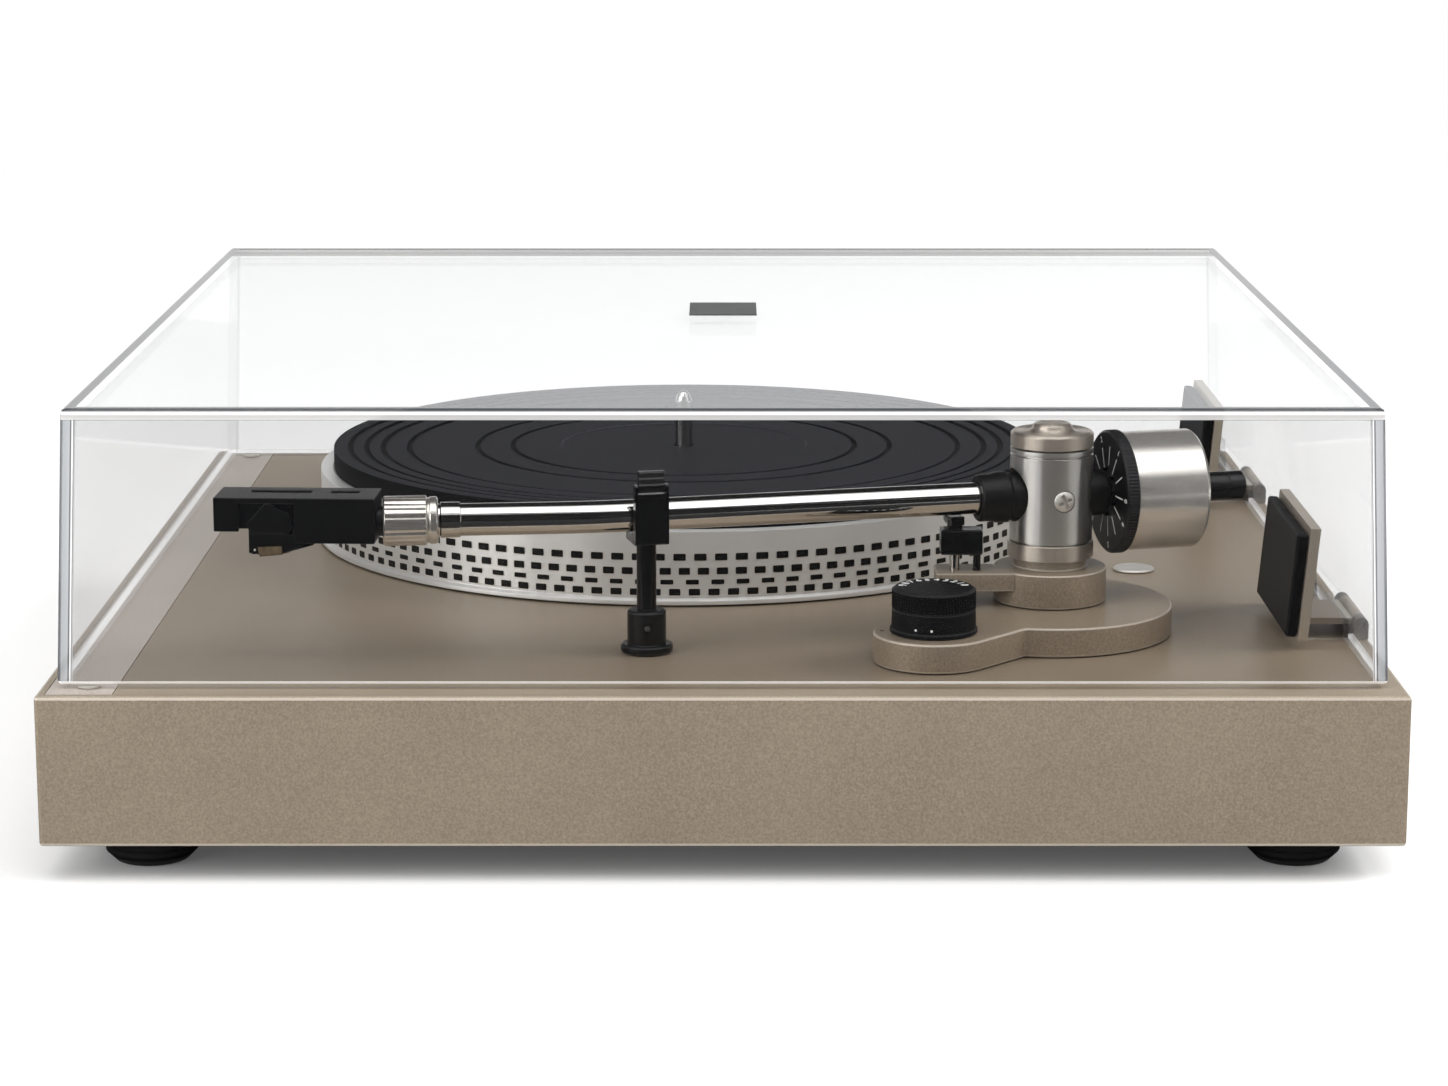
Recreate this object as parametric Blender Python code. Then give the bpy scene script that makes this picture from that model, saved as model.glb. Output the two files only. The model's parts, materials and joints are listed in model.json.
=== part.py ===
"""Automatic turntable with a clear dust cover, modelled as the separate pieces it is put together from.

Metres, +Z up. The origin is under the middle of the plinth at the height of the feet, +X to the
listener's right, +Y to the back. Heights called "over the deck" start at the plinth's top face.
The tone arm is shown on its rest, and each moving piece hangs from an empty on its joint's axis.
"""

import math

import bmesh
import bpy
from mathutils import Matrix, Vector

# Clearances shared by all pieces
GAP = 0.0003
OVERRUN = 0.003

# How many sides a round piece has, and how many points a round stretch of an outline has
TIP_SIDES = 8
SMALL_SIDES = 12
BORE_SIDES = 16
ROD_SIDES = 20
TURNED_SIDES = 28
LARGE_SIDES = 40
MAT_SIDES = 64
RIM_SIDES = 72
BASE_ARC_POINTS = 41
LOBE_ARC_POINTS = 17
LIFT_ARC_POINTS = 15
HUB_ARC_POINTS = 13
WINDOW_ARC_POINTS = 9
EAR_ARC_POINTS = 9
CLIP_ARC_POINTS = 7
VENT_ARC_POINTS = 5
TUBE_BEND_STEPS = 5
FLANK_STEPS = 3
SHARP_FROM = math.radians(35)

# Turns that lay an upright form down: its top then points forwards, backwards or to the right
FORWARDS = (math.pi / 2, 0, 0)
BACKWARDS = (-math.pi / 2, 0, 0)
SIDEWAYS = (0, math.pi / 2, 0)

# Platter, with its flange just over the deck
PLATTER_RADIUS = 0.147
PLATTER_FLOAT = 0.0008
FLANGE_LIP = 0.0015
FLANGE_THICKNESS = 0.0016
RIM_HEIGHT = 0.0275
RIM_ROUNDING = 0.0008
SKIRT_WALL = 0.0045
PLATE_WALL = 0.0055
HUB_RADIUS = 0.016
HUB_DROP = 0.008

# Rubber mat, in a shallow recess of the platter
MAT_EDGE = 0.005
MAT_RECESS = 0.0006
MAT_THICKNESS = 0.0080
MAT_STEP = 0.00045
MAT_GROOVE_WIDTH = 0.0016
MAT_GROOVE_SHARES = (0.953, 0.907, 0.86, 0.785, 0.59, 0.49)
MAT_TERRACE_SHARES = (0.0, 0.6, 1.2, 1.8, 2.4, 2.4, 2.4)

# Spindle and its bearing
SPINDLE_RADIUS = 0.00355
SPINDLE_RISE = 0.0208
SPINDLE_DOME_SHARES = ((0.45, 0.12), (0.8, 0.45), (1.0, 1.1))
BEARING_RADIUS = 0.0095
BEARING_FLANGE_RADIUS = 0.0145
BEARING_FLANGE_THICKNESS = 0.0025
BEARING_BELOW_DECK = 0.034
BEARING_FLOOR = 0.003

# Direct-drive motor: stator plate with poles on the deck, magnet ring under the platter
STATOR_RADIUS = 0.060
STATOR_PLATE = 0.0027
STATOR_POLES = 12
POLE_OUTER_RADIUS = 0.042
POLE_ROOT_RADIUS = 0.026
POLE_ROOT_SHARE = 0.3
POLE_TIP_SHARE = 0.36
POLE_HEIGHT = 0.0105
MAGNET_INNER_RADIUS = 0.046
MAGNET_OUTER_RADIUS = 0.057
MAGNET_LIFT = 0.003

# Plinth. The margins run from the platter's rim and from the arm's pivot to the edges
FOOT_HEIGHT = 0.012
PLINTH_HEIGHT = 0.052
LEFT_MARGIN = 0.028
RIGHT_MARGIN = 0.102
FRONT_MARGIN = 0.067
BACK_MARGIN = 0.1125
PLINTH_WALL = 0.006
DECK_THICKNESS = 0.005
PLINTH_EDGE = 0.0012

# Feet and bottom cover
FOOT_RADIUS = 0.016
FOOT_SOLE_RADIUS = 0.0125
FOOT_NECK_RADIUS = 0.0148
FOOT_CHAMFER = 0.0035
FOOT_NECK_HEIGHT = 0.004
FOOT_INSET_X = 0.030
FOOT_INSET_Y = 0.0335
BOTTOM_THICKNESS = 0.0025
VENT_LENGTH = 0.060
VENT_WIDTH = 0.004
VENT_PITCH = 0.011
VENT_COUNT = 5

# Trim strip along the front edge of the deck
STRIP_EDGE = 0.003
STRIP_WIDTH = 0.023
STRIP_RECESS = 0.001

# Keys in a recess of the front face
KEY_WIDTH = 0.028
KEY_HEIGHT = 0.011
KEY_LENGTH = 0.0085
KEY_PITCH = 0.036
KEY_ROW_INSET = 0.044
KEY_FRONT_SET = 0.0006
KEY_EDGE = 0.0006
KEY_RECESS_DEPTH = 0.0034
KEY_RECESS_MARGIN = 0.005
KEY_PLAY = 0.0004
KEY_FLANGE = 0.003
KEY_FLANGE_THICKNESS = 0.0015
KEY_NAMES = ("start_key", "stop_key", "speed_key", "cue_key")

# Rear panel, with the sockets inside the plinth's outline
PANEL_WIDTH = 0.150
PANEL_HEIGHT = 0.026
PANEL_FLANGE = 0.005
PANEL_THICKNESS = 0.002
PANEL_INSET = 0.040
SOCKET_RADIUS = 0.0042
SOCKET_BORE = 0.0016
SOCKET_SPACING = 0.018
SOCKET_PLATE = 0.0015
SOCKET_PLATE_MARGIN = 0.006
SOCKET_PLACE_SHARE = 0.1867
SOCKET_LENGTH = 0.0048
GROUND_PLACE_SHARE = 0.4
GROUND_KNOB_RADIUS = 0.0045
GROUND_POST_RADIUS = 0.0018
INLET_PLACE_SHARE = 0.7667
INLET_WIDTH = 0.024
INLET_HEIGHT = 0.016
INLET_DEPTH = 0.018
INLET_WALL = 0.002
INLET_WELL = 0.012
INLET_PIN_RADIUS = 0.0012
INLET_PIN_SPACING = 0.0085
INLET_PIN_LENGTH = 0.009

# Transformer and circuit board on the bottom cover
CORE_LENGTH = 0.060
CORE_WIDTH = 0.032
CORE_HEIGHT = 0.034
COIL_LENGTH = 0.036
COIL_WIDTH = 0.048
COIL_HEIGHT = 0.026
COIL_EDGE = 0.003
TRANSFORMER_INSET_X = 0.060
TRANSFORMER_INSET_Y = 0.110
BOARD_LENGTH = 0.110
BOARD_WIDTH = 0.070
BOARD_THICKNESS = 0.0016
BOARD_LEG_RADIUS = 0.003
BOARD_LEG_HEIGHT = 0.006
BOARD_LEG_INSET = 0.006
BOARD_INSET_X = 0.075
BOARD_INSET_Y = 0.060
CAPACITOR_RADIUS = 0.006
CAPACITOR_HEIGHT = 0.018
CAPACITOR_SPACING = 0.016

# Arm base: a round casting with a lobe for the anti-skate knob
BASE_RADIUS = 0.045
BASE_HEIGHT = 0.0107
BASE_EDGE = 0.001
LOBE_RADIUS = 0.021
LOBE_DISTANCE = 0.0648
LOBE_BEARING = math.radians(-41.6)
BASE_TO_PLATTER = 0.033
BASE_SET_X = 0.003
BASE_SET_Y = -0.0015
PIVOT_BEARING = math.radians(36.4)

# Pivot collar, the fixed bearing of the arm
COLLAR_RADIUS = 0.0202
COLLAR_EDGE = 0.0008
COLLAR_NECK_RADIUS = 0.013
COLLAR_NECK_HEIGHT = 0.0034
SLEEVE_RADIUS = 0.008
SLEEVE_BELOW_DECK = 0.014
SHAFT_RADIUS = 0.004

# Turning pillar. Heights are from the arm's axis
ARM_OVER_MAT = 0.013
PILLAR_RADIUS = 0.0148
PILLAR_WALL = 0.0035
PILLAR_ABOVE_AXIS = 0.0174
PILLAR_BELOW_AXIS = 0.016
PILLAR_FLOOR = 0.003
PILLAR_RING_RADIUS = 0.0155
PILLAR_RING_HEIGHT = 0.006
CAP_HEIGHT = 0.0057
CAP_EDGE = 0.0009
CAP_SPIGOT = 0.002
BOSS_RADIUS = 0.0069
BOSS_HEIGHT = 0.0026
BOSS_EDGE = 0.0008
SCREW_HEAD_RADIUS = 0.00375
SCREW_HEAD_LENGTH = 0.0030
SCREW_PROUD = 0.0004
SCREW_SHANK_RADIUS = 0.0022
SCREW_REACH = 0.0070
SCREW_CONE = 0.0015

# Arm, measured along its axis from the pivot
ARM_YAW = math.radians(14.3)
ARM_OVERHANG = 0.0573
COUPLING_RADIUS = 0.0085
COUPLING_FRONT = 0.028
COUPLING_EDGE = 0.0008
COUPLING_SOCKET = 0.012
NECK_RADIUS = 0.0083
NECK_REAR = 0.0207
NECK_SOCKET = 0.0075
TRUNNION_RADIUS = 0.0045
TRUNNION_REACH = 0.010
TILT_RANGE = math.radians(6)
WINDOW_PLAY = 0.0005
TUBE_RADIUS = 0.00565
TUBE_WALL = 0.0009
BEND_ANGLE = math.radians(9)
BEND_RADIUS = 0.1655
FRONT_TUBE_LENGTH = 0.0593
HEADSHELL_OFFSET = math.radians(8)

# Locking collar of the headshell
LOCK_RADIUS = 0.0087
LOCK_LENGTH = 0.019
LOCK_FLUTES = 16
LOCK_FLUTE_DEPTH = 0.0005
LOCK_LIP_RADIUS = 0.0082
LOCK_LIP_LENGTH = 0.004
LOCK_EDGE = 0.0008

# Headshell, cartridge and stylus. Distances run forward from the collar's front face
PLUG_RADIUS = 0.0052
PLUG_INSERT = 0.005
SHELL_START = 0.0016
SHELL_LENGTH = 0.0555
SHELL_WIDTH = 0.020
SHELL_TOP = 0.0096
SHELL_BOTTOM = 0.0062
SHELL_WALL = 0.002
NOSE_LENGTH = 0.0086
NOSE_BOTTOM = 0.0023
NOTCH_LENGTH = 0.0192
SLOT_WIDTH = 0.004
SLOT_SET = 0.0025
REAR_SLOT_SHARES = (0.12, 0.30)
FRONT_SLOT_SHARES = (0.42, 0.80)
CARTRIDGE_WIDTH = 0.016
CARTRIDGE_PLAY = 0.0006
CARTRIDGE_HEIGHT = 0.0175
CARTRIDGE_CHEST = 0.0085
CARTRIDGE_SLOPE = 0.00425
CARTRIDGE_SETBACK = 0.0117
CARTRIDGE_BASE_LENGTH = 0.0115
CARTRIDGE_TAIL = 0.0070
STYLUS_SETBACK = 0.0151
STYLUS_LENGTH = 0.012
STYLUS_WIDTH = 0.009
STYLUS_HEIGHT = 0.0009
STYLUS_AHEAD = 0.0018
STYLUS_SLOPE = 0.004
TIP_RADIUS = 0.0006
RECORD_THICKNESS = 0.001

# Counterweight, force dial and the shaft they run on
SHAFT_END = 0.073
STUB_RADIUS = 0.0053
STUB_EDGE = 0.0008
DIAL_RADIUS = 0.0225
DIAL_THICKNESS = 0.0044
DIAL_FLUTES = 44
DIAL_FLUTE_DEPTH = 0.0005
DIAL_BEVEL = 0.0012
DIAL_TO_PIVOT = 0.0212
DIAL_WELL_DEPTH = 0.0018
DIAL_WELL_PLAY = 0.0007
WEIGHT_RADIUS = 0.0214
WEIGHT_LENGTH = 0.0270
WEIGHT_EDGE = 0.0012
WEIGHT_WELL_RADIUS = 0.0185
WEIGHT_WELL_DEPTH = 0.005

# Arm rest
REST_SETBACK = 0.0062
REST_FLANGE_RADIUS = 0.0092
REST_FLANGE_HEIGHT = 0.0030
REST_SLEEVE_RADIUS = 0.00685
REST_SLEEVE_HEIGHT = 0.0121
REST_COLUMN_RADIUS = 0.00345
REST_EDGE = 0.0005
CRADLE_LENGTH = 0.012
CRADLE_PLAY = 0.0005
CRADLE_SHELF = 0.003
CRADLE_GUIDE = 0.0015
CRADLE_SHELF_REACH = 0.0055
CHEEK_THICKNESS = 0.0032
CHEEK_ABOVE_TUBE = 0.0032
EAR_HEIGHT = 0.0032
EAR_THICKNESS = 0.0011
CRADLE_EDGE = 0.0006
CLIP_PIN_RADIUS = 0.0006
CLIP_PIN_PLAY = 0.0003
CLIP_THICKNESS = 0.0022
CLIP_REACH = 0.0066
CLIP_RIBS = 3
CLIP_RIB_DEPTH = 0.0004
CLIP_RIB_SHARE = 0.7

# Cue lifter, an arc under the tube that follows the arm's swing
LIFT_RADIUS = 0.036
LIFT_WIDTH = 0.005
LIFT_BAR = 0.003
LIFT_ANGLE = math.radians(60)
LIFT_LEAD = math.radians(5)
LIFT_PLAY = 0.0004
LIFT_HEAD_LENGTH = 0.015
LIFT_HEAD_WIDTH = 0.009
LIFT_HEAD_HEIGHT = 0.0135
LIFT_HEAD_SET = 0.0023
LIFT_SHAFT_RADIUS = 0.0016
LIFT_LEG_RADIUS = 0.00135
LIFT_POST_RADIUS = 0.0028
LIFT_POST_HEIGHT = 0.0015
LIFT_HEAD_EDGE = 0.00075
LIFT_LEG_SET = 0.0080
LIFT_BRACKET_WIDTH = 0.017
LIFT_BRACKET_LENGTH = 0.022
LIFT_BRACKET_OVERLAP = 0.0101
LIFT_BRACKET_THICKNESS = 0.0068
LIFT_BRACKET_SET = 0.0066
LIFT_BOSS_RADIUS = 0.0038
LIFT_SHAFT_BELOW_DECK = 0.010

# Anti-skate knob on the lobe
KNOB_RADIUS = 0.0147
KNOB_SKIRT_RADIUS = 0.0152
KNOB_SKIRT_HEIGHT = 0.0013
KNOB_HEIGHT = 0.0156
KNOB_GRIP_SHARE = 0.45
KNOB_FLUTES = 30
KNOB_FLUTE_DEPTH = 0.0004
KNOB_EDGE = 0.0008
KNOB_STEM_RADIUS = 0.003
KNOB_STEM_LENGTH = 0.006

# Automatic return: sector on the arm's shaft, driven by a small motor's gear
GEAR_MODULE = 0.001
SECTOR_TEETH = 72
SECTOR_CUT_TEETH = 16
SECTOR_LEAD_TEETH = 2
PINION_TEETH = 12
GEAR_THICKNESS = 0.003
PINION_THICKNESS = 0.006
GEAR_BELOW_DECK = 0.022
ADDENDUM_SHARE = 0.72
DEDENDUM_SHARE = 1.05
BACKLASH_SHARE = 0.12
PRESSURE_ANGLE = math.radians(20)
SECTOR_HUB_RADIUS = 0.009
RETURN_MOTOR_RADIUS = 0.0115
RETURN_MOTOR_EDGE = 0.001
RETURN_SHAFT_RADIUS = 0.0015
RETURN_SHAFT_RISE = 0.0015

# Transit screw in the deck behind the platter
TRANSIT_X_SHARE = 0.562
TRANSIT_INSET_Y = 0.071
TRANSIT_RADIUS = 0.00795
TRANSIT_HEAD = 0.0009
TRANSIT_EDGE = 0.00045
TRANSIT_STUD_RADIUS = 0.003
TRANSIT_STUD_LENGTH = 0.012

# Dust cover
COVER_FLOAT = 0.0012
COVER_WALL = 0.0038
COVER_INSET_X = 0.011
COVER_INSET_Y = 0.006
COVER_TAPER = 0.0037
COVER_HEADROOM = 0.0160
COVER_EDGE = 0.0016
BUMPER_RADIUS = 0.004
BUMPER_INSET_X = 0.014
BUMPER_INSET_Y = 0.0165

# Hinges of the cover. The axis is behind the cover's back wall
HINGE_INSET_X = 0.1035
HINGE_AXIS_INSET = 0.0032
HINGE_AXIS_HEIGHT = 0.0056
HINGE_PIN_RADIUS = 0.0012
KNUCKLE_RADIUS = 0.0026
KNUCKLE_LENGTH = 0.030
EAR_LENGTH = 0.006
TONGUE_THICKNESS = 0.0022
TONGUE_PLAY = 0.0012
LEAF_WIDTH = 0.074
LEAF_HEIGHT = 0.040
LEAF_THICKNESS = 0.0035
LEAF_FLOAT = 0.0035
LEAF_LEAN = math.radians(5)
LEAF_INSET = 0.0282
CAP_PLATE_WIDTH = 0.071
CAP_PLATE_HEIGHT = 0.037
CAP_PLATE_THICKNESS = 0.004
CAP_PLATE_EDGE = 0.0008
CAP_PLATE_RISE = 0.00075
HOLDER_WALL = 0.0022
HOLDER_HEIGHT = 0.026
HOLDER_REAR_HEIGHT = 0.0085

# Places worked out from the sizes above
DECK = FOOT_HEIGHT + PLINTH_HEIGHT
PIVOT_DISTANCE = PLATTER_RADIUS + BASE_TO_PLATTER + BASE_RADIUS
PIVOT_OFFSET_X = PIVOT_DISTANCE * math.cos(PIVOT_BEARING)
PIVOT_OFFSET_Y = PIVOT_DISTANCE * math.sin(PIVOT_BEARING)
PLINTH_WIDTH = LEFT_MARGIN + PLATTER_RADIUS + PIVOT_OFFSET_X + RIGHT_MARGIN
PLINTH_DEPTH = FRONT_MARGIN + PLATTER_RADIUS + PIVOT_OFFSET_Y + BACK_MARGIN
RIGHT = PLINTH_WIDTH / 2
BACK = PLINTH_DEPTH / 2
PLATTER_X = LEFT_MARGIN + PLATTER_RADIUS - RIGHT
PLATTER_Y = FRONT_MARGIN + PLATTER_RADIUS - BACK
PIVOT_X = RIGHT - RIGHT_MARGIN
PIVOT_Y = BACK - BACK_MARGIN
UNDER_DECK = DECK - DECK_THICKNESS
INSIDE_FLOOR = FOOT_HEIGHT + BOTTOM_THICKNESS
RIM_TOP = PLATTER_FLOAT + RIM_HEIGHT
MAT_FLOOR = RIM_TOP - MAT_RECESS
MAT_TOP = MAT_FLOOR + GAP + MAT_THICKNESS
MAT_RADIUS = PLATTER_RADIUS - MAT_EDGE - GAP
PLATE_UNDERSIDE = MAT_FLOOR - PLATE_WALL
AXIS_HEIGHT = MAT_TOP + ARM_OVER_MAT
PILLAR_BOTTOM = AXIS_HEIGHT - PILLAR_BELOW_AXIS
PILLAR_TOP = AXIS_HEIGHT + PILLAR_ABOVE_AXIS
PILLAR_BORE = PILLAR_RADIUS - PILLAR_WALL
COLLAR_NECK_TOP = PILLAR_BOTTOM - PILLAR_RING_HEIGHT - GAP
COLLAR_TOP = COLLAR_NECK_TOP - COLLAR_NECK_HEIGHT
COVER_TOP = PILLAR_TOP + GAP + CAP_HEIGHT + BOSS_HEIGHT + COVER_HEADROOM + COVER_WALL
COLLAR_TO_STYLUS = SHELL_START + SHELL_LENGTH - STYLUS_SETBACK
MAIN_LENGTH = (
    PIVOT_DISTANCE + ARM_OVERHANG - COLLAR_TO_STYLUS - FRONT_TUBE_LENGTH - BEND_RADIUS * BEND_ANGLE
)
LOBE_X = PIVOT_X + BASE_SET_X + LOBE_DISTANCE * math.cos(LOBE_BEARING)
LOBE_Y = PIVOT_Y + BASE_SET_Y + LOBE_DISTANCE * math.sin(LOBE_BEARING)
TUBE_FACE = MAIN_LENGTH + BEND_RADIUS * BEND_ANGLE + FRONT_TUBE_LENGTH
TUBE_UNDERSIDE = -TUBE_RADIUS
MID_HEIGHT = (DECK + FOOT_HEIGHT) / 2
INSIDE_WIDTH = PLINTH_WIDTH - 2 * PLINTH_WALL
INSIDE_DEPTH = PLINTH_DEPTH - 2 * PLINTH_WALL
PANEL_LEFT = PANEL_INSET - RIGHT
PANEL_FACE = BACK - PLINTH_WALL - GAP
TRANSFORMER_X = TRANSFORMER_INSET_X - RIGHT
TRANSFORMER_Y = BACK - TRANSFORMER_INSET_Y
TRANSIT_X = TRANSIT_X_SHARE * PLINTH_WIDTH - RIGHT
TRANSIT_Y = BACK - TRANSIT_INSET_Y
LIFTER_X = PIVOT_X + LIFT_RADIUS * math.sin(ARM_YAW)
LIFTER_Y = PIVOT_Y - LIFT_RADIUS * math.cos(ARM_YAW)
HUB_BOTTOM = PLATE_UNDERSIDE - HUB_DROP
SPINDLE_BORE = SPINDLE_RADIUS + GAP
ARM_SHAFT_BORE = SHAFT_RADIUS + GAP
WEIGHT_BORE = STUB_RADIUS + GAP
DIAL_FRONT = -DIAL_TO_PIVOT
SHELL_END = -SHELL_START - SHELL_LENGTH
SHELL_NOSE = SHELL_END + NOSE_LENGTH
SHELL_NOTCH = SHELL_NOSE + NOTCH_LENGTH
SHELL_ROOF = SHELL_TOP - SHELL_WALL
CARTRIDGE_BOTTOM = SHELL_ROOF - GAP - CARTRIDGE_HEIGHT
CRADLE_SHELF_TOP = AXIS_HEIGHT + TUBE_UNDERSIDE - CRADLE_PLAY
CHEEK_TOP = AXIS_HEIGHT + TUBE_RADIUS + CHEEK_ABOVE_TUBE
EAR_GAP = CRADLE_LENGTH - 2 * EAR_THICKNESS
CLIP_PIN_X = TUBE_RADIUS + CRADLE_PLAY + CHEEK_THICKNESS / 2
CLIP_PIN_Z = CHEEK_TOP + CLIP_THICKNESS / 2 + GAP
LEAF_FRONT = HINGE_AXIS_INSET - LEAF_INSET
LEAF_LOW = LEAF_FLOAT - HINGE_AXIS_HEIGHT


def finish(name, colour, roughness, metallic, alpha=1.0):
    """A Principled material."""
    material = bpy.data.materials.new(name)
    material.use_nodes = True
    shader = material.node_tree.nodes["Principled BSDF"]
    shader.inputs["Base Color"].default_value = (*colour, 1.0)
    shader.inputs["Roughness"].default_value = roughness
    shader.inputs["Metallic"].default_value = metallic
    shader.inputs["Alpha"].default_value = alpha
    material.diffuse_color = (*colour, alpha)
    return material


def empty(name, place, turn=(0, 0, 0), parent=None):
    """An axis or a socket that pieces hang from."""
    holder = bpy.data.objects.new(name, None)
    holder.location = place
    holder.rotation_euler = turn
    holder.parent = parent
    bpy.context.scene.collection.objects.link(holder)
    return holder


def piece(name, shape, material=None, parent=None, place=(0, 0, 0), turn=(0, 0, 0)):
    """An object from a bmesh, with its faces turned outwards and its round faces shaded smooth."""
    bmesh.ops.recalc_face_normals(shape, faces=shape.faces)
    mesh = bpy.data.meshes.new(name)
    shape.to_mesh(mesh)
    shape.free()
    mesh.shade_smooth()
    mesh.set_sharp_from_angle(angle=SHARP_FROM)
    made = bpy.data.objects.new(name, mesh)
    made.location = place
    made.rotation_euler = turn
    made.parent = parent
    if material:
        mesh.materials.append(material)
    bpy.context.scene.collection.objects.link(made)
    return made


def use(target, tool, operation):
    """Adds a Boolean with a helper object, which is left out of the part itself."""
    tool.hide_render = True
    tool.display_type = "WIRE"
    step = target.modifiers.new(tool.name, "BOOLEAN")
    step.operation = operation
    step.solver = "EXACT"
    step.object = tool
    return target


def cut(target, *tools):
    for tool in tools:
        use(target, tool, "DIFFERENCE")
    return target


def join(target, *tools):
    for tool in tools:
        use(target, tool, "UNION")
    return target


def round_edges(shape, edges, width):
    bmesh.ops.bevel(shape, geom=edges, offset=width, segments=2, profile=0.5, affect="EDGES")


def box_shape(size, centre=(0, 0, 0), edge=0.0):
    """A block of the given size, with all its edges rounded where an edge width is given."""
    shape = bmesh.new()
    bmesh.ops.create_cube(shape, size=1)
    bmesh.ops.scale(shape, vec=size, verts=shape.verts)
    bmesh.ops.translate(shape, vec=centre, verts=shape.verts)
    if edge:
        round_edges(shape, shape.edges[:], edge)
    return shape


def rod_shape(radius, low, high, sides, x=0.0, y=0.0):
    """An upright cylinder between two heights."""
    shape = bmesh.new()
    bmesh.ops.create_cone(
        shape, cap_ends=True, segments=sides, radius1=radius, radius2=radius, depth=high - low
    )
    bmesh.ops.translate(shape, vec=(x, y, (low + high) / 2), verts=shape.verts)
    return shape


def prism_shape(outline, low, high, along="Z", top_edge=0.0):
    """An outline of two coordinates, extruded along the axis that is named."""
    order = {"X": (2, 0, 1), "Y": (0, 2, 1), "Z": (0, 1, 2)}[along]
    shape = bmesh.new()
    corners = []
    for point in outline:
        value = (*point, low)
        corners.append(shape.verts.new([value[index] for index in order]))
    base = shape.faces.new(corners)
    raised = bmesh.ops.extrude_face_region(shape, geom=[base])
    direction = [0.0, 0.0, 0.0]
    direction["XYZ".index(along)] = high - low
    moved = [item for item in raised["geom"] if isinstance(item, bmesh.types.BMVert)]
    bmesh.ops.translate(shape, vec=direction, verts=moved)
    if top_edge:
        moved = set(moved)
        rim = [edge for edge in shape.edges if set(edge.verts) <= moved]
        round_edges(shape, rim, top_edge)
    return shape


def turned_shape(profile, sides, flutes=False):
    """A turned form. The profile holds (radius, height) or (radius, height, flute depth) points.

    It runs from the axis to the axis, or round a bore as a closed line. With flutes, every second
    point of each ring is set in by that point's flute depth.
    """
    solid = profile[0][0] == 0
    shape = bmesh.new()
    rings = []
    for point in profile:
        radius, height = point[0], point[1]
        depth = point[2] if len(point) > 2 else 0.0
        if radius == 0:
            rings.append([shape.verts.new((0, 0, height))])
            continue
        ring = []
        for number in range(sides):
            angle = 2 * math.pi * number / sides
            reach = radius - (depth if flutes and number % 2 else 0.0)
            ring.append(shape.verts.new((reach * math.cos(angle), reach * math.sin(angle), height)))
        rings.append(ring)
    pairs = list(zip(rings, rings[1:]))
    if not solid:
        pairs.append((rings[-1], rings[0]))
    for upper, lower in pairs:
        for number in range(sides):
            after = (number + 1) % sides
            corners = [upper[number % len(upper)], upper[after % len(upper)]]
            corners += [lower[after % len(lower)], lower[number % len(lower)]]
            shape.faces.new(list(dict.fromkeys(corners)))
    return shape


def arc(centre, radius, start, end, count):
    """Points on an arc, both ends included."""
    step = (end - start) / (count - 1)
    return [
        (centre[0] + radius * math.cos(start + step * i), centre[1] + radius * math.sin(start + step * i))
        for i in range(count)
    ]


def stadium(radius, low, high, count=WINDOW_ARC_POINTS):
    """The outline of an upright slot with round ends, centred sideways."""
    top = arc((0, high), radius, 0, math.pi, count)
    bottom = arc((0, low), radius, math.pi, 2 * math.pi, count)
    return top + bottom


def arm_path(distance):
    """Place and heading on the tube's centre line, at a distance from the pivot.

    The arm points along -Y and the bend turns it towards the platter, to -X.
    """
    turned = min(max((distance - MAIN_LENGTH) / BEND_RADIUS, 0.0), BEND_ANGLE)
    straight = min(distance, MAIN_LENGTH)
    beyond = max(distance - MAIN_LENGTH - BEND_RADIUS * BEND_ANGLE, 0.0)
    x = -BEND_RADIUS * (1 - math.cos(turned)) - beyond * math.sin(turned)
    y = -straight - BEND_RADIUS * math.sin(turned) - beyond * math.cos(turned)
    return Vector((x, y, 0)), -turned


def tube_shape(stations, outer, inner, sides):
    """A hollow tube through the stations, which are pairs of a place and a heading."""
    shape = bmesh.new()
    layers = []
    for place, heading in stations:
        across = Vector((math.cos(heading), math.sin(heading), 0))
        rings = []
        for radius in (outer, inner):
            ring = []
            for number in range(sides):
                angle = 2 * math.pi * number / sides
                offset = across * math.cos(angle) + Vector((0, 0, 1)) * math.sin(angle)
                ring.append(shape.verts.new(place + offset * radius))
            rings.append(ring)
        layers.append(rings)
    for number in range(sides):
        after = (number + 1) % sides
        for one, two in zip(layers, layers[1:]):
            shape.faces.new((one[0][number], one[0][after], two[0][after], two[0][number]))
            shape.faces.new((one[1][number], two[1][number], two[1][after], one[1][after]))
        for outer_ring, inner_ring in (layers[0], layers[-1]):
            shape.faces.new((outer_ring[number], outer_ring[after], inner_ring[after], inner_ring[number]))
    return shape


def frustum_shape(half_x, half_y, low, high, taper):
    """A block whose four sides lean in by the taper towards its top."""
    shape = bmesh.new()
    bmesh.ops.create_cube(shape, size=1)
    for corner in shape.verts:
        top = corner.co.z > 0
        lean = taper if top else 0.0
        corner.co.x = math.copysign(half_x - lean, corner.co.x)
        corner.co.y = math.copysign(half_y - lean, corner.co.y)
        corner.co.z = high if top else low
    return shape


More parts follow.
